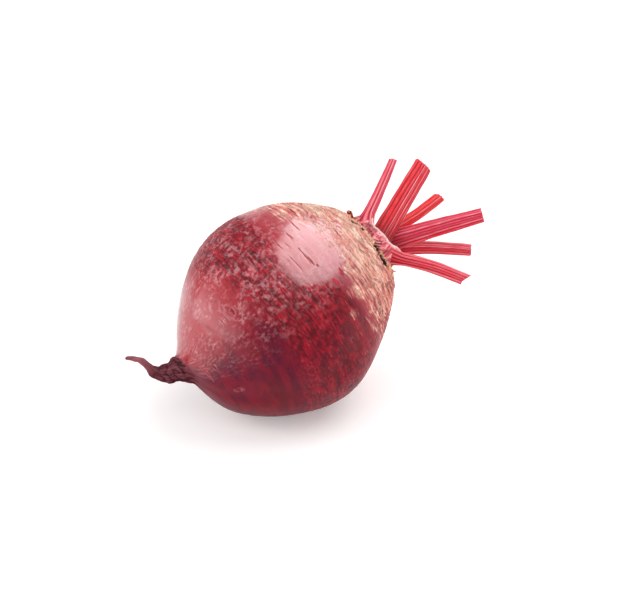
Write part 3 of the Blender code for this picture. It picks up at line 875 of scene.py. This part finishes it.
crown = {
    "sides": 420,
    # station, radius, share of the lifts, height of the fibres, pale share (low inside the hollow and at the collar's
    # foot, which are painted dark as shade)
    "profile": [
        (38.6, 12.0, 0.0, 0.0, 0.0),
        (39.6, 12.5, 0.0, 0.15, 0.1),
        (40.8, 12.7, 0.15, 0.3, 0.35),
        (42.2, 12.5, 0.4, 0.34, 0.5),
        (43.6, 12.1, 0.7, 0.3, 0.6),
        (44.9, 11.8, 0.9, 0.22, 0.8),
        (45.7, 11.5, 1.0, 0.12, 1.0),
        (46.0, 11.1, 1.0, 0.06, 1.0),
        (45.6, 10.7, 0.95, 0.1, 0.6),
        (44.6, 9.9, 0.6, 0.25, 0.15),
        (43.9, 8.0, 0.1, 0.3, 0.0),
        (43.6, 5.5, 0.0, 0.3, 0.0),
        (43.7, 2.5, 0.0, 0.2, 0.0),
    ],
    "ringsBetween": 4,
    # where the lip rises into an outer stalk, or sags: bearing, half width in degrees, height
    "lifts": [(-3, 17, 2.6), (-110, 20, 2.4), (155, 24, 1.8), (60, 40, -0.9), (-165, 25, -0.7), (-30, 12, -0.4)],
    "lean": 0.8,
    "leanBearing": -115.0,
    "wall": (0.66, 0.075, 0.11),
    "paleFibre": (0.92, 0.4, 0.42),
    "lip": (0.95, 0.62, 0.6),
    "deepFlesh": (0.2, 0.004, 0.012),
    # dark colour for the hollow: painted shade
    "hollow": (0.1, 0.002, 0.006),
}


def lipLift(turns):
    height = np.zeros_like(turns)
    for facing, wide, rise in crown["lifts"]:
        height = height + rise * np.exp(-((angleBetween(turns, math.radians(facing)) / math.radians(wide)) ** 2))
    return height


def buildCrown(material):
    # The collar of cut leaf bases and the hollow inside it
    skin = RingSkin()
    turns = np.arange(crown["sides"]) * tau / crown["sides"]
    around = np.stack([np.cos(turns) * 12.5, np.sin(turns) * 12.5, turns * 0], axis=1)
    ragged = 0.3 * noiseAt(around, 1.6, 4.0) + 0.25 * noiseAt(around, 5.0, 9.0)
    steps = (len(crown["profile"]) - 1) * crown["ringsBetween"]
    for k in range(steps + 1):
        station, radius, share, rise, pale = catmull(crown["profile"], k / steps)
        here = around + [0, 0, k * 0.16]
        fibre = 1 - np.minimum(1, np.abs(noiseAt(here, (0.8, 0.8, 1.0))) * 2.6)
        broad = noiseAt(here, (2.6, 2.6, 2.0), 6.0)
        ring = ringOf(np.zeros(3), np.array([0, 0, 1.0]), np.array([0, 1.0, 0]), radius + rise * (fibre + 1.2 * broad - 0.4))
        lean = crown["lean"] * np.cos(turns - math.radians(crown["leanBearing"]))
        ring[:, 0] = station + share * (lipLift(turns) + lean + ragged) + 0.08 * fibre
        place = here + [0, 0, k * 0.3]
        skin.add(ring, place=place, pale=np.full(len(turns), float(pale)), fibre=fibre, broad=broad)
    skin.close((43.7, 0, 0))
    return skin.finish("crownCollar", [material])


def crownMaterial():
    material, tree, shader = newMaterial("crownFlesh", specular=0.2)
    c = crown
    place, pale, fibre = carried(tree, "place", "Vector"), carried(tree, "pale"), carried(tree, "fibre")
    broad = carried(tree, "broad")
    motes = useGroup(tree, grain, {"Place": place, "Size": 0.4, "Mottle": 2.6})
    wall = blend(tree, remap(tree, fibre, 0.35, 0.85), c["wall"], c["paleFibre"])
    wall = blend(tree, remap(tree, broad, 0.05, -0.35, 0.0, 0.8), wall, c["deepFlesh"])
    wall = blend(tree, calc(tree, "MULTIPLY", motes["Mottle"], 0.3), wall, c["wall"])
    # The hollow inside the collar and the collar's foot are painted dark: painted shade
    inner = blend(tree, calc(tree, "MULTIPLY", motes["Mottle"], 0.6), c["hollow"], c["deepFlesh"])
    share = calc(tree, "MULTIPLY_ADD", calc(tree, "SUBTRACT", motes["Grain"], 0.5), 0.25, pale)
    colour = blend(tree, remap(tree, share, 0.02, 0.4), inner, wall)
    colour = blend(tree, remap(tree, share, 0.75, 1.0), colour, c["lip"])
    give(tree, shader.inputs["Base Color"], colour)
    give(tree, shader.inputs["Roughness"], remap(tree, motes["Grain"], 0.2, 0.8, 0.34, 0.6))
    relief = calc(tree, "MULTIPLY_ADD", motes["Grain"], 0.5, fibre)
    bumpInto(tree, shader, relief, 0.0002)
    return material


# Small torn and dried bits round the crown
crownBits = {
    # torn fibres: start station and bearing, end station and bearing, bulge, radius
    "torn": [
        (40.9, -45, 43.4, -55, 0.7, 0.22),
        (40.7, -51, 43.2, -62, 0.8, 0.24),
        (40.5, -57, 43.0, -68, 0.8, 0.22),
        (40.3, -64, 42.6, -73, 0.7, 0.2),
        (39.9, -72, 42.0, -79, 0.9, 0.17),
    ],
    "looseFibres": 26,
    # dried scales: bearing, width, height, outward lean, foot's radius and station
    "scales": [
        (16, 7.5, 1.8, 2.6, 13.2, 41.0),
        (38, 4.5, 2.6, 1.4, 12.8, 41.0),
        (74, 6.0, 3.4, 2.0, 12.8, 40.8),
        (106, 5.0, 2.8, 1.0, 12.7, 41.0),
        (137, 4.2, 3.2, 1.8, 12.8, 40.8),
        (-172, 5.6, 2.6, 1.3, 12.8, 41.0),
        (-146, 4.4, 3.4, 2.1, 12.8, 40.8),
        (-20, 3.0, 1.6, 0.9, 12.9, 40.7),
    ],
    "crumbs": 84,
    # crumbs seen on the near side: station, radius, bearing, size, tint (0 cream, 1 orange)
    "nearCrumbs": [
        (39.7, 13.9, -47, 0.75, 0.1),
        (39.4, 13.8, -38, 0.6, 0.9),
        (39.6, 13.6, -33, 0.5, 0.8),
        (38.8, 14.3, -40, 0.5, 0.2),
        (39.2, 14.2, -57, 0.6, 0.6),
        (38.9, 14.4, -66, 0.6, 0.7),
        (38.8, 14.3, -73, 0.5, 0.4),
        (44.4, 12.9, -117, 0.8, 0.0),
        (43.6, 12.9, -112, 0.6, 0.0),
    ],
    "cream": (0.95, 0.72, 0.55),
    "orange": (0.72, 0.3, 0.1),
    "tornTint": (0.93, 0.62, 0.6),
    "driedRed": (0.3, 0.012, 0.02),
    "driedEdge": (0.75, 0.42, 0.33),
}


def buildTornFibres(material):
    skin = RingSkin()
    draw = random.Random(31)
    rows = list(crownBits["torn"])
    for _ in range(crownBits["looseFibres"]):
        start = draw.uniform(0, 280)
        length = draw.uniform(1.0, 2.6)
        rows.append((draw.uniform(39.6, 41.2), start, draw.uniform(39.6, 41.2) + length, start + draw.uniform(-9, 9), draw.uniform(0.3, 1.1), draw.uniform(0.08, 0.18)))
    for low, start, high, end, bulge, thick in rows:
        path, radii = [], []
        for i in range(8):
            share = i / 7
            out = 13.2 + (12.75 - 13.2) * share + bulge * math.sin(math.pi * share)
            path.append(onRing(low + (high - low) * share, out, start + (end - start) * share + 1.5 * math.sin(3 * share + thick * 40)))
            radii.append(thick * (1 - 0.75 * abs(2 * share - 0.9) ** 2))
        addStrand(skin, path, radii, pale=1.0)
    return skin.finish("tornFibres", [material])


def buildScales(material):
    # Thin curled plates, each a stack of flat loops
    skin = RingSkin()
    across = np.linspace(-1, 1, 15)
    for facing, wide, tall, lean, foot, low in crownBits["scales"]:
        skin.last = None
        edge = np.stack([across * 3, across * 0 + facing, across * 0], axis=1)
        for k in range(13):
            share = k / 12
            ragged = noiseAt(edge + [share * 1.2, 0, 0], (0.9, 3.0, 1.0))
            half = wide / 2 * (1 - 0.3 * share**2) * (1 + 0.12 * math.sin(share * 9 + facing))
            out = foot + lean * share**1.5 + 0.25 * ragged * share
            bearings = facing + np.degrees(across * half / foot)
            station = low + tall * share * (1 - 0.22 * across**2 + 0.3 * ragged)
            thick = (0.2 * (1 - 0.7 * across**2) + 0.03) * (1 - 0.55 * share)
            front = np.array([onRing(s, r + t, b) for s, r, t, b in zip(station, out, thick, bearings)])
            back = np.array([onRing(s, r - t, b) for s, r, t, b in zip(station, out, thick, bearings)])[::-1]
            loop = np.concatenate([front, back])
            dry = np.clip(share * 0.8 + 0.25 * across**2 + 0.25 * ragged, 0, 1)
            skin.add(loop, place=loop, pale=np.concatenate([dry, dry[::-1]]))
    return skin.finish("driedScales", [material])


def scaleMaterial():
    material, tree, shader = newMaterial("driedScale", specular=0.15)
    place, pale = carried(tree, "place", "Vector"), carried(tree, "pale")
    motes = useGroup(tree, grain, {"Place": place, "Size": 0.3, "Mottle": 1.4})
    edge = remap(tree, calc(tree, "MULTIPLY_ADD", calc(tree, "SUBTRACT", motes["Mottle"], 0.5), 0.3, pale), 0.62, 0.95)
    give(tree, shader.inputs["Base Color"], blend(tree, edge, crownBits["driedRed"], crownBits["driedEdge"]))
    give(tree, shader.inputs["Roughness"], remap(tree, motes["Grain"], 0.2, 0.8, 0.5, 0.8))
    bumpInto(tree, shader, calc(tree, "MULTIPLY_ADD", motes["Mottle"], 0.6, motes["Grain"]), 0.0002)
    return material


def tornMaterial():
    material, tree, shader = newMaterial("tornFibre", specular=0.2)
    motes = useGroup(tree, grain, {"Place": carried(tree, "place", "Vector"), "Size": 0.25, "Mottle": 1.5})
    tint = crownBits["tornTint"]
    give(tree, shader.inputs["Base Color"], blend(tree, motes["Mottle"], tint, (tint[0] * 0.85, tint[1] * 0.4, tint[2] * 0.42)))
    give(tree, shader.inputs["Roughness"], remap(tree, motes["Grain"], 0.2, 0.8, 0.4, 0.65))
    bumpInto(tree, shader, motes["Grain"], 0.0001)
    return material


def buildCrumbs(material):
    # Corky crumbs along the crust's edge
    skin = RingSkin()
    draw = random.Random(12)
    rows = list(crownBits["nearCrumbs"])
    for _ in range(crownBits["crumbs"]):
        rows.append((draw.uniform(38.4, 40.6), draw.uniform(13.0, 14.4), draw.uniform(-180, 180), draw.uniform(0.25, 0.62), draw.random()))
    for station, radius, facing, size, warm in rows:
        middle = onRing(station, radius, facing)
        outward = onRing(0.9, 0.6, facing)
        path = [middle + outward * size * step for step in (-0.9, -0.5, 0.0, 0.45, 0.8, 0.92)]
        radii = [size * wide * draw.uniform(0.85, 1.15) for wide in (0.5, 0.95, 1.0, 0.8, 0.4, 0.05)]
        addStrand(skin, path, radii, sides=9, pale=float(warm))
    return skin.finish("crustCrumbs", [material], relief=lambda points, values: 0.12 * noiseAt(points, 0.45))


def crumbMaterial():
    material, tree, shader = newMaterial("crustCrumb", specular=0.2)
    place, warm = carried(tree, "place", "Vector"), carried(tree, "pale")
    motes = useGroup(tree, grain, {"Place": place, "Size": 0.25, "Mottle": 0.9})
    colour = blend(tree, remap(tree, warm, 0.45, 0.75), crownBits["cream"], crownBits["orange"])
    colour = blend(tree, calc(tree, "MULTIPLY", motes["Mottle"], 0.4), colour, skinColours["rust"])
    give(tree, shader.inputs["Base Color"], colour)
    give(tree, shader.inputs["Roughness"], remap(tree, motes["Grain"], 0.2, 0.8, 0.55, 0.8))
    bumpInto(tree, shader, motes["Grain"], 0.0002)
    return material


# The leaf stalks: foot (up, side), tip (station, up, side), half width (low down, at the tip),
# extra half width at the foot, how far the sheath spreads from the foot towards lower and higher bearings,
# thickness as a share of width, the bearing that the ribbed back faces, a sideways bow, the slant of the
# cut end, the number of ribs, where round it the redder side lies (degrees) and how red it gets,
# and the tints of its rib crests, its flesh and its grooves. The pale crest tint is partly painted
# highlight, and the dark groove tint partly painted shade.
stalks = {
    "stalkUpperThin": {
        "node": "stalk_upper_thin", "foot": (10.4, -0.6), "tip": (68.4, 20.4, 6.3), "half": (2.6, 1.55),
        "flare": 0.5, "sheath": (4.2, 1.6), "thickness": 0.86, "facing": -30, "bow": 0.3, "slant": 10,
        "ribs": 11, "redSide": -40, "redShare": 0.3,
        "crestPaleAndHighlight": (1.0, 0.48, 0.52), "fleshTint": (0.84, 0.07, 0.13), "grooveDarkAndShade": (0.4, 0.004, 0.02),
    },
    "stalkUpperThick": {
        "node": "stalk_upper_thick", "foot": (2.4, -5.0), "tip": (77.0, 13.0, 1.7), "half": (4.6, 3.8),
        "flare": 0.7, "sheath": (0, 0), "thickness": 0.62, "facing": -62, "bow": 0.0, "slant": -8,
        "ribs": 19, "redSide": -95, "redShare": 0.95,
        "crestPaleAndHighlight": (1.0, 0.42, 0.45), "fleshTint": (0.82, 0.025, 0.05), "grooveDarkAndShade": (0.26, 0.002, 0.006),
    },
    "stalkRearShort": {
        "node": "stalk_rear_short", "foot": (-0.8, 5.2), "tip": (77.9, -6.0, 3.3), "half": (2.5, 2.3),
        "flare": 0.2, "sheath": (0, 0), "thickness": 0.8, "facing": -30, "bow": 2.2, "slant": 12,
        "ribs": 11, "redSide": -40, "redShare": 1.0,
        "crestPaleAndHighlight": (0.98, 0.25, 0.28), "fleshTint": (0.82, 0.008, 0.02), "grooveDarkAndShade": (0.4, 0.001, 0.004),
    },
    "stalkLong": {
        "node": "stalk_long", "foot": (-3.0, -0.4), "tip": (82.9, -9.2, -17.9), "half": (4.5, 2.9),
        "flare": -1.4, "sheath": (0, 0), "thickness": 0.62, "facing": -62, "bow": -0.4, "slant": 0,
        "ribs": 16, "redSide": 95, "redShare": 0.8,
        "crestPaleAndHighlight": (0.98, 0.42, 0.52), "fleshTint": (0.78, 0.03, 0.085), "grooveDarkAndShade": (0.28, 0.002, 0.01),
    },
    "stalkRearLow": {
        "node": "stalk_rear_low", "foot": (-8.4, 3.8), "tip": (74.2, -23.8, -12.9), "half": (3.0, 2.5),
        "flare": 0.1, "sheath": (1.5, 1.5), "thickness": 0.76, "facing": -50, "bow": -1.3, "slant": 0,
        "ribs": 13, "redSide": 90, "redShare": 0.75,
        "crestPaleAndHighlight": (0.95, 0.26, 0.34), "fleshTint": (0.74, 0.022, 0.06), "grooveDarkAndShade": (0.25, 0.002, 0.008),
    },
    "stalkFrontLow": {
        "node": "stalk_front_low", "foot": (-4.0, -10.8), "tip": (60.2, -17.9, -30.9), "half": (2.7, 2.5),
        "flare": 0.6, "sheath": (2.0, 3.4), "thickness": 0.78, "facing": -84, "bow": -1.2, "slant": -34,
        "ribs": 14, "redSide": 100, "redShare": 0.9,
        "crestPaleAndHighlight": (1.0, 0.46, 0.5), "fleshTint": (0.82, 0.04, 0.08), "grooveDarkAndShade": (0.32, 0.002, 0.008),
    },
}

stalkDetail = {
    "sidesPerRib": 8,
    "rings": 80,
    "ribDepth": 0.4,
    "flareShare": 0.3,
    "sheathShare": 0.26,
    "sheathRound": 11.5,
    "footStation": 44.5,
    "footSink": 3.2,
    "cutRings": 7,
}


def ribCrests(turns, ribs, phase, along):
    # Rounded ribs of uneven width and height, with thin grooves between them
    warped = turns + 0.2 * np.sin(2 * turns + phase) + 0.1 * np.sin(3 * turns + 2 * phase) + 0.03 * math.sin(5 * along + phase)
    place = warped * ribs / tau
    index = np.floor(place) % ribs
    height = 0.55 + 0.45 * np.sin(index * 2.4 + phase * 1.7)
    return np.sin(np.pi * (place % 1.0)) ** 0.75, height


def spreadSheath(ring, centre, foot, route, values, share):
    # Widens the foot along the collar and thins its ends, as a leaf's sheath does
    outward = np.array([0, foot[1], foot[2]])
    outward /= np.linalg.norm(outward)
    round_ = np.array([0, outward[2], -outward[1]])
    away = ring - centre
    side = away @ round_
    low, high = values["sheath"]
    half = np.abs(side).max()
    reach = np.where(side < 0, low, high)
    wide = side * (1 + reach * share / half)
    ends = np.abs(wide) / (half + reach)
    drop = (wide**2 - side**2) / (2 * stalkDetail["sheathRound"])
    thin = (away @ outward) * (-0.6 * share * ends**2)
    moved = np.outer(wide - side, round_) + np.outer(thin - drop, outward)
    return ring + moved - np.outer(share * 1.6 * ends**2 * (reach > 0), route)


def buildStalk(name, values, material, cut):
    d = stalkDetail
    (footUp, footSide), (tipStation, tipUp, tipSide) = values["foot"], values["tip"]
    foot = np.array([d["footStation"], footSide, footUp])
    tip = np.array([tipStation, tipSide, tipUp])
    route = (tip - foot) / np.linalg.norm(tip - foot)
    foot = foot - route * d["footSink"]
    length = np.linalg.norm(tip - foot)
    facing = math.radians(values["facing"])
    back = np.array([0, math.sin(facing), math.cos(facing)])
    across = np.cross(route, back)
    across /= np.linalg.norm(across)
    sides = values["ribs"] * d["sidesPerRib"]
    turns = np.arange(sides) * tau / sides
    phase = random.Random(len(name) * 7 + 3).uniform(0, 40)
    low, high = values["half"]
    red = smoothStep(np.cos(turns - math.radians(values["redSide"])), -0.1, 0.9)
    skin = RingSkin()
    for k in range(d["rings"] + 1):
        along = (k / d["rings"]) ** 1.15
        centre = foot + (tip - foot) * along + across * values["bow"] * math.sin(math.pi * along)
        lean = route + across * values["bow"] * math.pi * math.cos(math.pi * along) / length
        lean /= np.linalg.norm(lean)
        outer = back - lean * back.dot(lean)
        outer /= np.linalg.norm(outer)
        side = np.cross(lean, outer)
        spread = max(0.0, 1 - along / d["flareShare"]) ** 2
        halfWidth = low + (high - low) * along + values["flare"] * spread
        crest, height = ribCrests(turns, values["ribs"], phase, along)
        oval = halfWidth / np.hypot(np.cos(turns) / values["thickness"], np.sin(turns))
        hollow = 1 - 0.16 * np.exp(-((angleBetween(turns, math.pi) / 0.75) ** 2))
        slim = d["ribDepth"] * (0.6 + 0.4 * min(1.0, halfWidth / 4))
        ring = ringOf(centre, outer, side, oval * hollow + slim * (crest * height - 0.7))
        sheathShare = float(smoothStep(-along, -d["sheathShare"], 0.0))
        ring = spreadSheath(ring, centre, foot, route, values, sheathShare)
        place = np.stack([np.full(sides, along * length + phase), 4 * np.cos(turns), 4 * np.sin(turns)], axis=1)
        waver = 0.05 * noiseAt(place, (5.0, 1.4, 1.4), phase)
        ring = ring + (ring - centre) * waver[:, None]
        if k == d["rings"]:
            ring += np.outer((ring - centre) @ side, lean) * math.tan(math.radians(values["slant"]))
            ring += np.outer(0.25 * crest * height, lean)
        footShare = float(smoothStep(-along, -0.42, -0.06))
        carriedValues = {"crest": crest * height, "groove": 1 - crest, "red": red, "foot": np.full(sides, footShare)}
        skin.add(ring, place=place, sheath=np.full(sides, sheathShare), inward=np.zeros(sides), **carriedValues)
    # The cut face: a rounded edge, then in to the middle, with a shallow dish
    rim, middle = ring, ring.mean(axis=0)
    for k in range(1, d["cutRings"] + 1):
        share = k / (d["cutRings"] + 1)
        inward = 1 - share**1.3
        rise = 0.16 * math.sin(math.pi * min(1.0, share * 3)) - 0.45 * share * share
        face = middle + (rim - middle) * inward + lean * rise
        place = np.stack([face @ lean, face @ outer, face @ side], axis=1)
        face = face + np.outer(0.14 * noiseAt(place, 0.7, phase) * smoothStep(share, 0.05, 0.3), lean)
        skin.add(face, mark=1, place=place, sheath=np.zeros(sides), inward=np.full(sides, share), **carriedValues)
    skin.close(middle - lean * 0.45, mark=1)
    return skin.finish(name, [material, cut])


def stalkMaterial(name, values):
    material, tree, shader = newMaterial(name, specular=0.22)
    place, crest, groove = carried(tree, "place", "Vector"), carried(tree, "crest"), carried(tree, "groove")
    red, foot = carried(tree, "red"), carried(tree, "foot")
    # Fibres run the other way from the root's streaks, so x and y change places
    parts = put(tree, "SeparateXYZ", {0: place})
    twist = put(tree, "CombineXYZ", {0: parts.outputs[1], 1: parts.outputs[0], 2: parts.outputs[2]}).outputs[0]
    threads = cloud(tree, stretched(tree, twist, 1.0, 16.0, 1.0), 2.4, 4.0, 0.6)
    motes = useGroup(tree, grain, {"Place": place, "Size": 0.3, "Mottle": 5.0})
    flesh, crestPaleAndHighlight, grooveDarkAndShade = values["fleshTint"], values["crestPaleAndHighlight"], values["grooveDarkAndShade"]
    saturated = (flesh[0], flesh[1] * 0.15, flesh[2] * 0.3)
    body = blend(tree, calc(tree, "MULTIPLY", red, values["redShare"]), flesh, saturated)
    body = blend(tree, calc(tree, "MULTIPLY", remap(tree, threads, 0.52, 0.7), 0.35), body, crestPaleAndHighlight)
    # Pale along the rib crests: partly the ribs' own paler tone, partly painted highlight
    pale = remap(tree, calc(tree, "MULTIPLY_ADD", calc(tree, "SUBTRACT", threads, 0.5), 1.0, crest), 0.6, 1.1)
    pale = calc(tree, "MULTIPLY", pale, calc(tree, "MULTIPLY_ADD", red, -0.75 * values["redShare"], 1.0))
    colour = blend(tree, calc(tree, "MULTIPLY", pale, 0.9), body, crestPaleAndHighlight)
    # Dark in the grooves, more so towards the foot: partly painted shade
    furrow = calc(tree, "MULTIPLY_ADD", calc(tree, "SUBTRACT", threads, 0.5), 0.5, groove)
    dark = remap(tree, calc(tree, "MULTIPLY_ADD", foot, 0.25, furrow), 0.35, 0.7, 0.0, 1.0)
    colour = blend(tree, dark, colour, grooveDarkAndShade)
    sheath = carried(tree, "sheath")
    inShade = (flesh[0] * 0.35, flesh[1] * 0.12, flesh[2] * 0.16)
    # Stalks without a wide sheath darken towards the foot: painted shade between the stalks
    if max(values["sheath"]) > 2.5:
        colour = blend(tree, calc(tree, "MULTIPLY", sheath, 0.3), colour, crown["wall"])
    else:
        colour = blend(tree, calc(tree, "MULTIPLY", foot, 0.85), colour, inShade)
    give(tree, shader.inputs["Base Color"], colour)
    give(tree, shader.inputs["Roughness"], remap(tree, motes["Grain"], 0.25, 0.75, 0.28, 0.45))
    shader.inputs["Subsurface Weight"].default_value = 0.05
    shader.inputs["Subsurface Radius"].default_value = (1.0, 0.2, 0.2)
    shader.inputs["Subsurface Scale"].default_value = 0.001
    bumpInto(tree, shader, calc(tree, "MULTIPLY_ADD", motes["Grain"], 0.12, threads), 0.00028)
    return material


def cutMaterial():
    material, tree, shader = newMaterial("cutFlesh", specular=0.3)
    place, inward = carried(tree, "place", "Vector"), carried(tree, "inward")
    motes = useGroup(tree, grain, {"Place": place, "Size": 0.35, "Mottle": 1.6})
    cells = put(tree, "TexVoronoi", {"Vector": place, "Scale": 0.9}).outputs["Distance"]
    dots = remap(tree, cells, 0.12, 0.3, 1.0, 0.0)
    flesh = blend(tree, motes["Mottle"], (0.62, 0.06, 0.13), (0.85, 0.3, 0.36))
    flesh = blend(tree, calc(tree, "MULTIPLY", dots, 0.5), flesh, (0.42, 0.015, 0.04))
    colour = blend(tree, remap(tree, inward, 0.0, 0.2), (0.75, 0.12, 0.2), flesh)
    give(tree, shader.inputs["Base Color"], colour)
    give(tree, shader.inputs["Roughness"], remap(tree, motes["Grain"], 0.2, 0.8, 0.35, 0.6))
    bumpInto(tree, shader, calc(tree, "MULTIPLY_ADD", cells, 0.8, motes["Grain"]), 0.0002)
    return material


skinLook, crownLook, cutLook = skinMaterial(), crownMaterial(), cutMaterial()
root = buildRoot(skinLook, crownLook)
flattenSeat(root)
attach(root, "root")
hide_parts("root")
print("root skin:", len(root.data.vertices), "points")

crownPieces = [
    buildCrown(crownLook), buildTornFibres(tornMaterial()), buildScales(scaleMaterial()),
    buildCrumbs(crumbMaterial()), buildHairs(hairMaterial()),
]
for piece in crownPieces:
    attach(piece, "root")
    print(piece.name + ":", len(piece.data.vertices), "points")

for stalkName, stalkValues in stalks.items():
    look = stalkMaterial(stalkName + "Flesh", stalkValues)
    stalk = buildStalk(stalkName, stalkValues, look, cutLook)
    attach(stalk, "root")
    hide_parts(stalkValues["node"])
print("stalks:", len(stalks))

# The studio: a pale floor, soft lights, and cards that only show as reflections
studio = {
    "floorSize": 4.0,
    "floorTint": (0.86, 0.855, 0.85),
    "floorGlow": 0.3,
    "ambient": 0.5,
    "glossHorizon": 0.7,
    "glossAbove": 0.12,
}

# azimuth and elevation of each light seen from the root (0 is towards -Y, 90 towards +X), its distance,
# width and height in metres, its power, and whether it shows in reflections or in diffuse light
lights = {
    "softLeft": {"at": (-118, 24), "far": 1.1, "size": (0.8, 0.7), "watts": 7, "gloss": False, "diffuse": True},
    "softRight": {"at": (78, 58), "far": 1.1, "size": (1.0, 0.9), "watts": 6.5, "gloss": False, "diffuse": True},
    "frontFill": {"at": (-31, 48), "far": 1.3, "size": (1.2, 0.8), "watts": 3.5, "gloss": False, "diffuse": True},
    "cardLeft": {"at": (-108, 17), "far": 1.0, "size": (1.55, 0.62), "watts": 8, "gloss": True, "diffuse": False},
    "cardRight": {"at": (76, 62), "far": 1.0, "size": (1.9, 1.05), "turn": -26, "watts": 54, "gloss": True, "diffuse": False},
}


def direction(azimuth, elevation):
    a, e = math.radians(azimuth), math.radians(elevation)
    return Vector((math.sin(a) * math.cos(e), -math.cos(a) * math.cos(e), math.sin(e)))


def buildFloor():
    half = studio["floorSize"] / 2
    corners = [(-half, -half, 0), (half, -half, 0), (half, half, 0), (-half, half, 0)]
    material, tree, shader = newMaterial("studioFloor", roughness=0.75, specular=0.2)
    place = put(tree, "VectorMath", {0: put(tree, "TexCoord").outputs["Object"], 1: (1000, 1000, 1000)}, operation="MULTIPLY")
    motes = useGroup(tree, grain, {"Place": place.outputs[0], "Size": 2.0, "Mottle": 160.0})
    tint = studio["floorTint"]
    give(tree, shader.inputs["Base Color"], blend(tree, calc(tree, "MULTIPLY", motes["Mottle"], 0.4), tint, tuple(t * 0.985 for t in tint)))
    shader.inputs["Emission Color"].default_value = (1, 1, 1, 1)
    shader.inputs["Emission Strength"].default_value = studio["floorGlow"]
    bumpInto(tree, shader, motes["Grain"], 0.00002)
    floor = meshObject("studioFloor", corners, [(0, 1, 2, 3)], [material])


def buildLights():
    heart = Vector((0, 0, lie["seatHeight"] * mm))
    for name, v in lights.items():
        lamp = bpy.data.lights.new(name, "AREA")
        lamp.shape = "RECTANGLE"
        lamp.size, lamp.size_y = v["size"]
        lamp.energy = v["watts"]
        made = bpy.data.objects.new(name, lamp)
        towards = direction(*v["at"])
        made.location = heart + towards * v["far"]
        turned = Matrix.Rotation(math.radians(v.get("turn", 0)), 3, "Z")
        made.rotation_euler = (towards.to_track_quat("Z", "Y").to_matrix() @ turned).to_euler()
        made.visible_glossy = v["gloss"]
        made.visible_diffuse = v["diffuse"]
        made.visible_camera = False
        bpy.context.scene.collection.objects.link(made)


def buildWorld():
    # Even pale surroundings. In reflections only the backdrop near the horizon stays bright.
    world = bpy.data.worlds.new("studioAir")
    bpy.context.scene.world = world
    world.use_nodes = True
    tree = world.node_tree
    shade = tree.nodes["Background"]
    glossy = put(tree, "LightPath").outputs["Is Glossy Ray"]
    height = put(tree, "SeparateXYZ", {0: put(tree, "TexCoord").outputs["Generated"]}).outputs[2]
    mirrored = remap(tree, height, 0.08, 0.55, studio["glossHorizon"], studio["glossAbove"])
    give(tree, shade.inputs["Strength"], remap(tree, glossy, 0, 1, studio["ambient"], mirrored, False))
    shade.inputs["Color"].default_value = (1, 0.99, 0.985, 1)


# The photograph's view: where it looks from, and the aim right of and above the widest ring's middle
view = {"azimuth": -31.0, "elevation": 28.0, "distance": 0.8, "lens": 119.0, "aimRight": 11.35, "aimUp": 1.35}


def buildCamera():
    a, e = math.radians(view["azimuth"]), math.radians(view["elevation"])
    right = Vector((math.cos(a), math.sin(a), 0))
    up = Vector((-math.sin(a) * math.sin(e), math.cos(a) * math.sin(e), math.cos(e)))
    back = direction(view["azimuth"], view["elevation"])
    lens = bpy.data.cameras.new("photoView")
    lens.lens = view["lens"]
    lens.sensor_width = 36.0
    camera = bpy.data.objects.new("photoView", lens)
    aim = Vector((0, 0, lie["seatHeight"] * mm)) + right * view["aimRight"] * mm + up * view["aimUp"] * mm
    camera.location = aim + back * view["distance"]
    camera.rotation_euler = back.to_track_quat("Z", "Y").to_euler()
    bpy.context.scene.collection.objects.link(camera)
    bpy.context.scene.camera = camera


buildFloor()
buildLights()
buildWorld()
buildCamera()
bpy.context.scene.view_settings.view_transform = "Standard"
print("studio ready")
